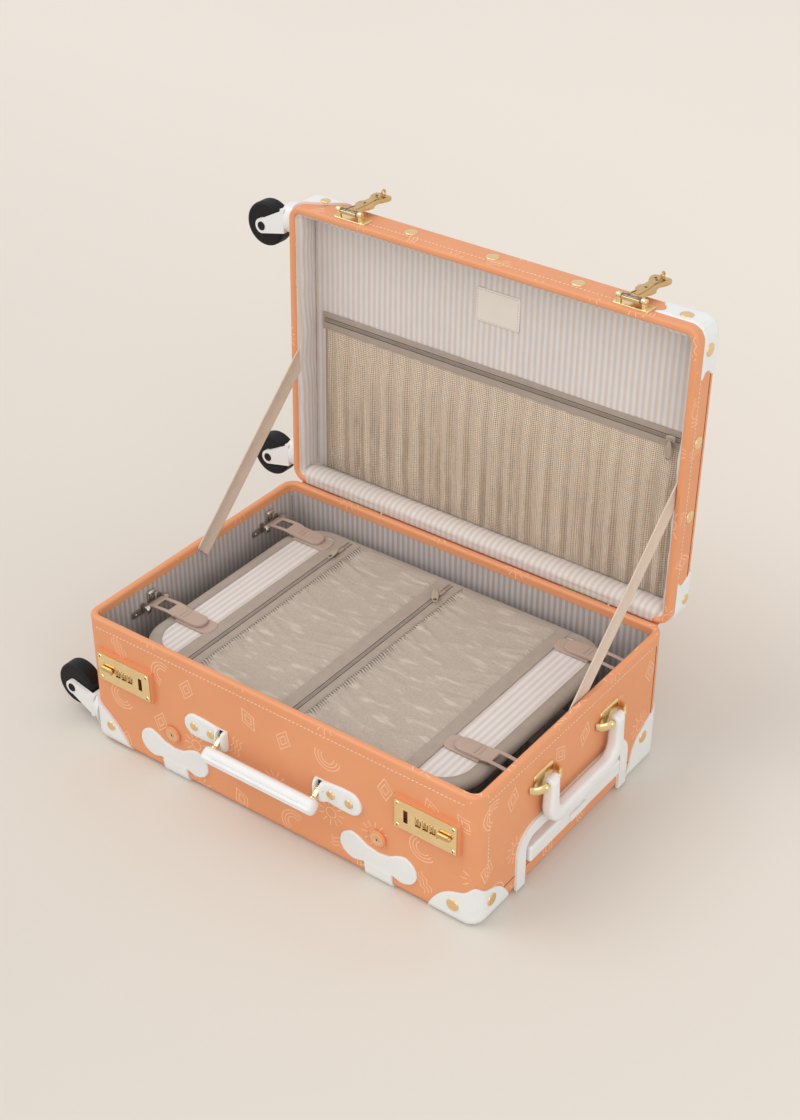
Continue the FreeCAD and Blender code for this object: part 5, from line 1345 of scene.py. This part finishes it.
def handle_tabs():
    """Leather tabs, each swelling into a loop round the link's pin, with a gap that the link swings in; a
    dark plate of painted shade lies in the gap.
    """
    outer = node_box("front_handle_tabs")[1].x
    middle_z = 85
    lobe, neck = 14, 12
    gap_start, gap_end, gap_foot, gap_floor = 61, 67, 82, 0.9
    flat_share = 0.8
    swell = ((57, 0.4), (57.4, 5.0), (58.4, 7.6), (60, 8.6), (gap_start - 0.05, 8.6), (gap_start + 0.05, 8.6),
             (gap_end - 0.05, 8.6), (gap_end + 0.05, 8.6), (68.6, 8.2), (70.6, 6.4), (73, 3.6), (75, 3.0),
             (outer - 1.2, 3.0), (outer - 0.3, 2.0), (outer, 0.3))
    stations = []
    for (start, _), (end, _) in zip(swell, swell[1:]):
        count = max(2, round((end - start) / 1.5))
        stations += [between(start, end, number / count) for number in range(count)]
    stations.append(outer)

    def place(row, column):
        x = on_path(stations, row)
        reach = min(lobe, outer - x)
        half = min(math.sqrt(max(0.2, lobe ** 2 - (lobe - reach) ** 2)),
                   between(neck, lobe, limited((x - 70) / 20)))
        if column >= flat_share:
            return (x, -HALF_WIDTH, middle_z + half * (1 - 10 * (column - flat_share)))
        angle = math.pi * column / flat_share
        z = middle_z - half * squared(angle, 0.6)[0]
        height = gap_floor if gap_start < x < gap_end and z > gap_foot else along_curve(swell, x)
        return (x, -HALF_WIDTH - height * abs(math.sin(angle)) ** 0.4, z)

    tab = sleeve(len(stations) - 1, 60, place, caps=True)
    # Dark plate of painted shade lying in each tab's gap.
    hollow_shade = plate(rounded_outline(2.8, 6.6, 1, 0.8), 0.5, 0.2)
    tabs, hollow_shades = Shape(), Shape()
    for _, sign in SIDES:
        tabs.join(tab.mapped(lambda x, y, z: (sign * x, y, z), flip=sign > 0))
        spot = (sign * (gap_start + gap_end) / 2, -HALF_WIDTH - gap_floor, gap_foot + 7)
        hollow_shades.join(hollow_shade.at((0, -1, 0), spot))
    tabs.build("front_tabs", WHITE_LEATHER, "base", replaces="front_handle_tabs", slot="white_leather")
    hollow_shades.build("front_tab_gap_shades", DARK_PRINT_AND_SHADE, "base", slot="white_leather")


HANDLE_PIVOT = Vector((0, -173.9, 88))
HANDLE_DROOP = math.radians(38)
HANDLE_REACH = 19.5
HANDLE_RING_X = 64
GRIP_HALF = 72.4
GRIP_RADIUS = 8.4
GRIP_SQUARE = 0.7
# Angles of the two stitched valleys round the grip
GRIP_VALLEYS = (0.55, 1.35)
GRIP_SEAM_HALF = 58
GRIP_SEAM_RADIUS = 7.05


def front_grip():
    """Grip with two stitched valleys, and the links that it swings on."""
    out = Vector((0, -math.cos(HANDLE_DROOP), -math.sin(HANDLE_DROOP)))
    up = Vector((0, -math.sin(HANDLE_DROOP), math.cos(HANDLE_DROOP)))
    centre = HANDLE_PIVOT + out * HANDLE_REACH

    def place(row, column):
        x = between(-GRIP_HALF, GRIP_HALF, row)
        from_end = GRIP_HALF - abs(x)
        close = math.sqrt(max(0.02, 1 - (1 - min(1.0, from_end / 5)) ** 2))
        angle = FULL_TURN * column
        side, rise = squared(angle, GRIP_SQUARE)
        ridge = sum(math.exp(-((angle - valley) / 0.16) ** 2) for valley in GRIP_VALLEYS)
        size = (GRIP_RADIUS - 1.5 * ridge * min(1.0, from_end / 12)) * close
        return ACROSS * x + centre + out * (size * side) + up * (size * rise)

    sleeve(90, 60, place, caps=True).build(
        "front_grip", WHITE_LEATHER, "front_handle", replaces="front_handle", slot="white_leather")
    eye = [(3.2 * math.cos(QUARTER * (1 + number / 6)), 3.2 * math.sin(QUARTER * (1 + number / 6)))
           for number in range(13)]
    bar = plate(eye + [(3, -2.5), (17, -2.5), (17, 2.5), (3, 2.5)], 2.6, 0.6)
    pin = spindle([(1.9, 6.4), (0.01, 6.5)], 16)
    ferrule = lathe([(0.01, 8.4), (2.4, 8.6), (3.4, 9.4), (4.0, 10.6), (4.0, 11.8), (0.01, 12)], 20)
    turn = Matrix((out, ACROSS, up)).transposed().to_4x4()
    links = Shape()
    for sign in (-1, 1):
        spot = HANDLE_PIVOT + ACROSS * (sign * HANDLE_RING_X)
        links.join(bar.moved(Matrix.Translation(spot - up * 1.3) @ turn),
                   pin.at(ACROSS, spot + ACROSS * (sign * 0.5)), ferrule.at(out, spot))
    links.build("front_handle_links", GOLD, "front_handle", slot="gold_metal")
    for number, angle in enumerate(GRIP_VALLEYS):
        side, rise = squared(angle, GRIP_SQUARE)
        spot = centre + (out * side + up * rise) * GRIP_SEAM_RADIUS
        line = [spot + ACROSS * x for x in range(-GRIP_SEAM_HALF, GRIP_SEAM_HALF + 1, 3)]
        normal = out * math.cos(angle) + up * math.sin(angle)
        stitches("front_grip_stitches_%d" % number, line, normal, SEWING, "front_handle", 2.6, 1.3, 0.34)


bows()
handle_tabs()
front_grip()


# Divider clips, and the bars that they hold on to

CLIP_PIVOT_X = 198
CLIP_ROWS = (-80, 118)
CLIP_COLUMNS = (-11, -10.3, -9, -6.5, -5.8, -3, 0, 3, 5.8, 6.5, 9, 10.3, 11)
# Side view of a hook, as distance from its pivot and height
CLIP_ARCH = ((0, 136.0), (6, 137.1), (14, 137.2), (26, 136.4), (34, 135.4), (38.6, 133.6), (40.1, 131.0),
             (40.2, 128.0))
# Layers of a tab: inner and outer end, half width, radius of the end, height, thickness, edge and slope
TAB_LAYERS = ((151, 196, 11.4, 8, 129.9, 2.2, 0.9, 0.03), (163, 203, 9.9, 10, 132.8, 3.0, 0.9, 0.03),
              (176, 196, 8, 4, 131.5, 2.0, 0.3, 0.0))
TAB_SLOPE_X = 180
TAB_RIDGES = (188, 193)
BAR_X = INSIDE_LENGTH - 8
BAR_Z = 131


def clip_hooks():
    """Curved straps with a window, thickened and softened."""
    path = evenly(spline([(a, 0, b) for a, b in CLIP_ARCH], 8), 36)

    def place(row, column):
        spot = on_path(path, row)
        return (spot.x, on_path(CLIP_COLUMNS, column), spot.z - 1.0)

    strap = grid(len(path) - 1, len(CLIP_COLUMNS) - 1, place)

    def in_window(face):
        middle = sum((strap.points[corner] for corner in face), Vector((0, 0, 0))) / len(face)
        return abs(middle.y) < 6.2 and 11.5 < middle.x < 28.5

    strap.faces = [face for face in strap.faces if not in_window(face)]
    for name in ("left_front", "left_back", "right_front", "right_back"):
        node = "clip_hook_" + name
        low, high = node_box(node)
        sign = math.copysign(1, low.x)
        middle = (low.y + high.y) / 2

        def at_clip(a, b, height):
            return (sign * (CLIP_PIVOT_X + a), middle + b, height)

        hook = strap.mapped(at_clip, flip=sign > 0).build(
            "clip_hook_shape_" + name, CLIP, "clip_" + name, replaces=node, slot="clip_plastic")
        thick = hook.modifiers.new("thickness", "SOLIDIFY")
        thick.thickness = 2.2 * MM
        thick.offset = 0
        soft = hook.modifiers.new("soft_edges", "SUBSURF")
        soft.levels = 1
        soft.render_levels = 1


def tab_outline(inner, outer, half, radius):
    """Straight tab with a rounded inner end."""
    made = [(outer, -half), (outer, half)]
    for number in range(13):
        angle = QUARTER + math.pi * number / 12
        made.append((inner + radius + radius * math.cos(angle), half * squared(angle, 0.75)[1]))
    return made


def clip_tabs():
    shape = Shape()
    for sign in (-1, 1):
        for middle in CLIP_ROWS:
            for inner, outer, half, radius, floor_z, thick, edge, slope in TAB_LAYERS:
                def at_clip(a, b, height):
                    return (sign * a, middle + b, floor_z + height + max(0, (a - TAB_SLOPE_X) * slope))

                layer = plate(tab_outline(inner, outer, half, radius), thick, edge)
                shape.join(layer.mapped(at_clip, flip=sign < 0))
            for x in TAB_RIDGES:
                shape.join(tube([(sign * x, middle + y, 136.1) for y in (-6.5, -3, 0, 3, 6.5)], 0.9, 8))
    shape.build("clip_tab_shapes", CLIP, "base", replaces="clip_tabs", slot="clip_plastic")


def clip_bars():
    """Bars on screwed ears, with a catch plate over each bar and a wing beside it."""
    z = BAR_Z
    bar = spindle([(2.1, 11.7), (4.6, 11.9), (4.6, 16.5), (4.2, 17), (0.01, 17)], 20)
    curl = spindle([(2.3, 4.9), (1.9, 5.3), (0.01, 5.4)], 18)
    foot = plate(rounded_outline(2.6, 6.5, 2, 1.5), 1.4, 0.4).moved(Matrix.Rotation(QUARTER, 4, "Z"))
    foot_screw = lathe([(1.7, 0), (1.6, 0.8), (0.9, 1.2), (0.01, 1.3)], 14)
    catch = plate(rounded_outline(6, 5.5, 1.6, 1.0), 2.0, 0.9, 0.5)
    wing = plate(rounded_outline(4, 7, 2.5, 1.2), 1.6, 0.5)
    wing_screw = lathe([(1.5, 0), (1.4, 0.7), (0.8, 1.1), (0.01, 1.2)], 14)
    bars, ears = Shape(), Shape()
    for sign in (-1, 1):
        inward = (-sign, 0, 0)
        x = sign * BAR_X
        wall = sign * INSIDE_LENGTH
        for middle in CLIP_ROWS:
            for y in (middle - 13, middle + 13):
                arm = [(x, y, z), (x + sign * 3, y, z - 0.6), (wall - sign * 2.5, y, z - 3),
                       (wall - sign * 0.8, y, z - 7)]
                ears.join(tube(spline(arm, 5), 2.3, 10, flatten=0.6), foot.at(inward, (wall, y, z - 2)),
                          foot_screw.at(inward, (wall - sign * 1.4, y, z - 6)))
            ears.join(wing.at(inward, (wall, middle - 23, z - 4)))
            bars.join(bar.at((0, -1, 0), (x, middle, z)), catch.at(inward, (wall, middle, z + 7.5)),
                      curl.at((0, -1, 0), (wall - sign * 2.4, middle, z + 13)),
                      wing_screw.at(inward, (wall - sign * 1.5, middle - 25, z - 4)))
    bars.build("clip_bars", BRIGHT, "base", replaces="clip_wall_hooks", slot="steel")
    ears.build("clip_bar_ears", BRACKET, "base", replaces="clip_wall_hooks", slot="steel")


clip_hooks()
clip_tabs()
clip_bars()


# Hasps on the lid

# Half width of a tongue, and of the raised spine on it, by distance from the pivot
TONGUE_HALF = ((-3.4, 9.8), (0, 10.4), (7, 10.4), (10.5, 7.4), (17, 6.9), (22, 9.4), (29, 10.2), (34, 7.4),
               (41, 6.8), (48, 9.6), (55, 11.2), (59.4, 10.4), (61.6, 6.4))
SPINE_HALF = ((8, 2.6), (14, 3.2), (26, 4.0), (34, 3.0), (50, 2.4))
STAPLE_RADIUS = 3.0
LUG_X = 14


def both_sides(half):
    """Outline of a form that is the same on both sides of its middle line."""
    return [(a, b) for a, b in half[::-1]] + [(a, -b) for a, b in half]


def tongue_shape():
    runs = [between(TONGUE_HALF[0][0], TONGUE_HALF[-1][0], number / 70) for number in range(71)]
    outline = both_sides([(run, along_curve(TONGUE_HALF, run)) for run in runs])
    shape = plate(outline, 3.6, 0.9).at(UP, (0, 0, -2.5))
    shape.join(plate(both_sides(SPINE_HALF), 1.2, 0.5).at(UP, (0, 0, 0.9)))
    for y in (-6.5, 6.5):
        shape.join(lathe([(2.2, 0), (2.0, 1.1), (1.1, 1.6), (0.01, 1.7)], 18).at(UP, (5, y, 1.0)))
    staple = []
    for number in range(24):
        turn = FULL_TURN * number / 24
        staple.append((58.5 + STAPLE_RADIUS * math.cos(turn), 0, 3.4 + STAPLE_RADIUS * math.sin(turn)))
    return shape.join(tube(staple, 1.15, 10, closed=True))


def hasps():
    tongue = tongue_shape()
    # Dark discs of painted shade where the tongue's holes are.
    marks = Shape()
    for run, offset, height in ((26, 0, 2.0), (47, 0, 2.0), (53, 4.5, 1.05), (53, -4.5, 1.05)):
        marks.join(lathe([(1.7, 0), (1.6, 0.15), (0.01, 0.1)], 16).at(UP, (run, offset, height)))
    leaf = plate(rounded_outline(20.5, 8, 2.5, 1.5), 1.6, 0.5)
    knuckle = spindle([(3.1, 2.5), (2.8, 3), (0.01, 3)], 24)
    barrel = spindle([(2.3, 3.8), (2.9, 4), (2.9, 10.4), (2.7, 10.7), (0.01, 10.7)], 24)
    for side, _ in SIDES:
        body = "hasp_" + side
        pivot = Vector(joints["hasp_swing_" + side]["pos_m"]) / MM
        seat = Matrix.Translation(pivot) @ Matrix((LID_ALONG, ACROSS, LID_FRONT)).transposed().to_4x4()
        tongue.moved(seat).build("hasp_shape_" + side, DARK_GOLD, body, replaces="hasp_tongue_" + side,
                                 slot="gold_metal")
        marks.moved(seat).build("hasp_hole_shades_" + side, DARK_PRINT_AND_SHADE, body, slot="steel")
        fixed = leaf.mapped(lambda a, b, height: in_lid(pivot.x + a, BODY_WIDTH + height, 11.2 + b))
        for x in (-LUG_X, LUG_X):
            end = pivot + ACROSS * x
            lug = tube([in_lid(pivot.x + x, BODY_WIDTH + 1, 6.5), end], 2.9, 14)
            fixed.join(lug, knuckle.at(ACROSS, end))
        fixed.build("hasp_leaf_" + side, GOLD, "lid", replaces="hasp_bases", slot="gold_metal")
        barrel.at(ACROSS, pivot).build("hasp_barrel_" + side, STEEL, body, slot="steel")


hasps()


# End handle and its mounts

MOUNT_Y = 60
# Way of an arm from the wall to the pin: distance from the wall, sideways from the pin's middle and below it
MOUNT_ARM = ((1, 23, 1.5), (5.5, 21, 1), (9.6, 16, 0.3))


def end_mounts():
    """Gold brackets: a crowned plate on the wall, and arms that sweep in to a pin of the end handle."""
    pivot = Vector(joints["end_handle_swing"]["pos_m"]) / MM
    seat = plate(rounded_outline(12, 17, 4, 2.0), 1.8, 0.8, 0.6)
    pin = spindle([(2.6, 8.6), (3.4, 9.4), (3.8, 11), (3.4, 12.6), (2.2, 13.9), (0.01, 14.4)], 24)
    seats, lugs = Shape(), Shape()
    for y in (-MOUNT_Y, MOUNT_Y):
        seats.join(seat.at(ACROSS, (HALF_LENGTH, y, pivot.z)))
        for side in (-1, 1):
            arm = [(HALF_LENGTH + out, y + side * aside, pivot.z - drop) for out, aside, drop in MOUNT_ARM]
            lugs.join(tube(spline(arm + [(pivot.x, y + side * 10.6, pivot.z)], 6), 2.3, 20, flatten=2.2))
        lugs.join(pin.at((0, 1, 0), (pivot.x, y, pivot.z)))
    seats.build("end_handle_seats", GOLD, "base", replaces="end_handle_mounts", slot="gold_metal")
    lugs.build("end_handle_lugs", GOLD, "base", replaces="end_handle_mounts", slot="gold_metal")


def end_handle():
    """Moulded handle: two legs with round eyes, curving into a thicker bar."""
    low, high = node_box("end_handle_grip")
    middle_x = (low.x + high.x) / 2
    thick = (high.x - low.x) / 2
    leg, bar, bend, eye_length = 7, 9, 21, 13
    leg_y, bar_z = high.y - leg, low.z + bar
    eye_z = high.z - eye_length
    path = [(-leg_y, between(high.z, eye_z, number / 10)) for number in range(10)]
    path += [(-leg_y, between(eye_z, bar_z + bend, number / 6)) for number in range(6)]
    for number in range(13):
        turn = QUARTER * number / 12
        path.append((-leg_y + bend * (1 - math.cos(turn)), bar_z + bend * (1 - math.sin(turn))))
    path += [(between(-leg_y + bend, 0, number / 8), bar_z) for number in range(1, 9)]
    path += [(-y, z) for y, z in path[-2::-1]]
    stations = frames_along([Vector((0, y, z)) for y, z in path])

    def place(row, column):
        point, tangent, _, _ = on_path(stations, row)
        drop = high.z - point.z
        eye = math.sqrt(max(0.01, 1 - (1 - min(1.0, drop / thick)) ** 2))
        wide = between(leg, bar, limited((drop - 14) / 30))
        side, face = squared(FULL_TURN * column, 0.55)
        across = Vector((0, -tangent.z, tangent.y))
        return point + across * (wide * side) + ACROSS * (middle_x + thick * eye * face)

    sleeve(len(path) - 1, 32, place, caps=True).build(
        "end_handle_shape", WHITE_PLASTIC, "end_handle", replaces="end_handle_grip", slot="white_plastic")


end_mounts()
end_handle()


# Sliders that open the locks

def lock_sliders():
    """Sculpted thumb pieces: a rounded bar with a hooked inner end."""
    for side, sign in SIDES:
        name = "lock_slider_" + side
        low, high = node_box(name)
        inner, outer = (low.x, high.x) if sign > 0 else (high.x, low.x)
        middle_z = (low.z + high.z) / 2

        def place(row, column):
            end = math.sqrt(max(0.02, 1 - (2 * row - 1) ** 8))
            front, rise = squared(FULL_TURN * column, 0.6)
            return (between(inner, outer, row), low.y + 2 + 1.95 * end * front,
                    middle_z + 0.8 + 2.9 * end * rise)

        hook = [(inner + sign * x, low.y + 2.2, middle_z + z)
                for x, z in ((4.5, 1), (2.6, 0.6), (2.0, -1.5), (2.4, -3.2))]
        bar = sleeve(40, 20, place, caps=True).join(tube(spline(hook, 5), 1.7, 12))
        bar.build("lock_slider_shape_" + side, DARK_GOLD, name, replaces=name, slot="gold_metal")


lock_sliders()


# Caps on the casters' axles

AXLE_HALF = 15.1


def axle_caps():
    cap = lathe([(5.0, -0.5), (5.0, 0.5), (4.4, 1.0), (2.2, 0.8), (1.8, 0.4), (0.01, 0.3)], 24)
    for corner in CASTERS:
        low, high = node_box("caster_wheel_" + corner)
        axis = LID_ALONG if corner.startswith("lid") else Vector((0, 1, 0))
        caps = Shape()
        for sign in (-1, 1):
            caps.join(cap.at(axis * sign, (low + high) / 2 + axis * (sign * AXLE_HALF)))
        caps.build("axle_caps_" + corner, RUBBER, "fork_" + corner, slot="wheel_rubber")


axle_caps()


# Stitch rows, and seams drawn as dark lines of painted shadow

STITCH_LIFT = 0.1
STITCH_PITCH = 4
STITCH_BELOW_RIM = 11.5
FRONT_ROW_HALF = 236
# Stretches of the row on the back, beside the hinges
BACK_ROWS = (("a", -FRONT_ROW_HALF, -182), ("b", -118, 119), ("c", 182, FRONT_ROW_HALF + 1))
SEAM_RADIUS = 0.5


def shell_stitches():
    def sew(name, body, normal, place, first, last):
        path = [place(spot) for spot in range(first, last, STITCH_PITCH)]
        stitches("stitches_" + name, path, normal, THREAD, body)

    z = RIM_TOP - STITCH_BELOW_RIM
    v = LID_RIM + 1.5
    out_x = HALF_LENGTH + STITCH_LIFT
    out_y = HALF_WIDTH + STITCH_LIFT
    sew("front", "base", (0, -1, 0), lambda x: (x, -out_y, z), -FRONT_ROW_HALF, FRONT_ROW_HALF + 1)
    for name, first, last in BACK_ROWS:
        sew("back_" + name, "base", (0, 1, 0), lambda x: (x, out_y, z), first, last)
    sew("upright", "base", (1, 0, 0), lambda height: (out_x, -HALF_WIDTH + 18, height), 56, 149)
    sew("lid_front", "lid", LID_FRONT, lambda x: in_lid(x, BODY_WIDTH + STITCH_LIFT, v), -190, 194)
    for name, sign in SIDES:
        sew("end_" + name, "base", (sign, 0, 0), lambda y: (sign * out_x, y, z), -154, 149)
        sew("lid_end_" + name, "lid", (sign, 0, 0), lambda u: in_lid(sign * out_x, u, v), 54, 280)


def seams():
    # Thin dark tubes along the seams: painted shadow in the seam lines.
    base_paths = [[(x, HALF_WIDTH, SEAM_Z) for x in range(-234, 235, 12)]]
    lid_paths = []
    for x in (-HALF_LENGTH, HALF_LENGTH):
        base_paths.append([(x, y, SEAM_Z) for y in range(-150, 151, 10)])
        base_paths.append([(x, HALF_WIDTH - 17, z) for z in range(int(SEAM_Z), int(RIM_LOW), 8)])
        lid_paths.append([in_lid(x, u, LID_SEAM) for u in range(20, 321, 10)])
    for body, paths in (("base", base_paths), ("lid", lid_paths)):
        lines = Shape().join(*[tube(path, SEAM_RADIUS, 6) for path in paths])
        lines.build(body + "_seams", SEAM_SHADOW, body, slot="orange_leather")


shell_stitches()
seams()


# Figures on the lock dials, drawn with seven straight strokes

SEGMENTS = {"a": ((-1, 2), (1, 2)), "b": ((1, 2), (1, 0)), "c": ((1, 0), (1, -2)), "d": ((-1, -2), (1, -2)),
            "e": ((-1, 0), (-1, -2)), "f": ((-1, 2), (-1, 0)), "g": ((-1, 0), (1, 0))}
FIGURES = ("abcdef", "bc", "abged", "abgcd", "fgbc", "afgcd", "afgedc", "abc", "abcdefg", "abcdfg")
FIGURE_WIDE = 0.85
FIGURE_TALL = 0.62


def dial_figures():
    """Figures 0 to 9 round each dial, as thin dark strokes."""
    for dial, number in DIALS.items():
        low, high = node_box("lock_dial_" + dial)
        middle = (low + high) / 2
        radius = (high.z - low.z) / 2 + 0.04
        shape = Shape()
        for figure, strokes in enumerate(FIGURES):
            turn = FULL_TURN * (figure + 3 * number) / len(FIGURES)
            for stroke in strokes:
                (x0, z0), (x1, z1) = SEGMENTS[stroke]
                line = []
                for share in (0, 1 / 3, 2 / 3, 1):
                    angle = turn + between(z0, z1, share) * FIGURE_TALL / radius
                    line.append((middle.x + between(x0, x1, share) * FIGURE_WIDE,
                                 middle.y - radius * math.cos(angle), middle.z + radius * math.sin(angle)))
                shape.join(tube(line, 0.2, 5))
        shape.build("dial_figures_" + dial, DARK_PRINT_AND_SHADE, "dial_" + dial, slot="dial")


dial_figures()


# Floor, light and camera

FLOOR_HALF = 4000


def floor_material():
    g = Graph("floor")
    # Painted light: the floor's colour grows lighter away from the camera, with faint broad blotches.
    away = g.smooth(g.split(g.position)[1], -0.8, 1.8)
    painted_falloff = g.plus(away, g.span(g.noise(900, 2), -0.1, 0.1))
    g.set(Base_Color=g.mix(painted_falloff, colour(212, 206, 196), colour(234, 227, 217)), Roughness=0.9,
          Specular_IOR_Level=0.2)
    return g.material


def placed(name, data, place, aim):
    """Lamp at a place, shining along a direction."""
    holder = bpy.data.objects.new(name, data)
    holder.location = Vector(place) * MM
    holder.rotation_euler = Vector(aim).to_track_quat("-Z", "Y").to_euler()
    bpy.context.scene.collection.objects.link(holder)


def studio():
    floor = grid(1, 1, lambda row, column: (between(-FLOOR_HALF, FLOOR_HALF, row),
                                            between(-FLOOR_HALF, FLOOR_HALF, column), -0.4))
    floor.build("floor", floor_material(), None)
    world = bpy.data.worlds.new("studio")
    bpy.context.scene.world = world
    world.use_nodes = True
    back = world.node_tree.nodes["Background"]
    back.inputs["Color"].default_value = colour(252, 250, 250)
    back.inputs["Strength"].default_value = 0.85
    sun = bpy.data.lights.new("window", "SUN")
    sun.energy = 0.66
    sun.angle = math.radians(38)
    sun.color = (1.0, 0.992, 0.98)
    placed("window", sun, (0, 0, 0), (0.55, 0.35, -0.85))
    for name, place, target, size, power in (
            ("key", (-1300, -900, 2300), (0, 60, 180), 1500, 4),
            ("fill", (1900, -1500, 1300), (0, 0, 150), 1900, 18)):
        lamp = bpy.data.lights.new(name, "AREA")
        lamp.size = size * MM
        lamp.energy = power
        lamp.color = (1.0, 0.995, 0.985)
        placed(name, lamp, place, Vector(target) - Vector(place))


def camera():
    """Camera at the photograph's viewpoint; the long side of the frame spans the sensor's width."""
    lens = bpy.data.cameras.new("camera")
    lens.sensor_width = 36
    lens.lens = 60.24
    lens.clip_start = 0.05
    lens.clip_end = 30
    holder = bpy.data.objects.new("camera", lens)
    holder.location = Vector((965.6, -1247.0, 1297.2)) * MM
    holder.rotation_euler = (math.radians(56.107), math.radians(0.097), math.radians(36.678))
    bpy.context.scene.collection.objects.link(holder)
    bpy.context.scene.camera = holder


studio()
camera()
bpy.context.scene.view_settings.view_transform = "Standard"
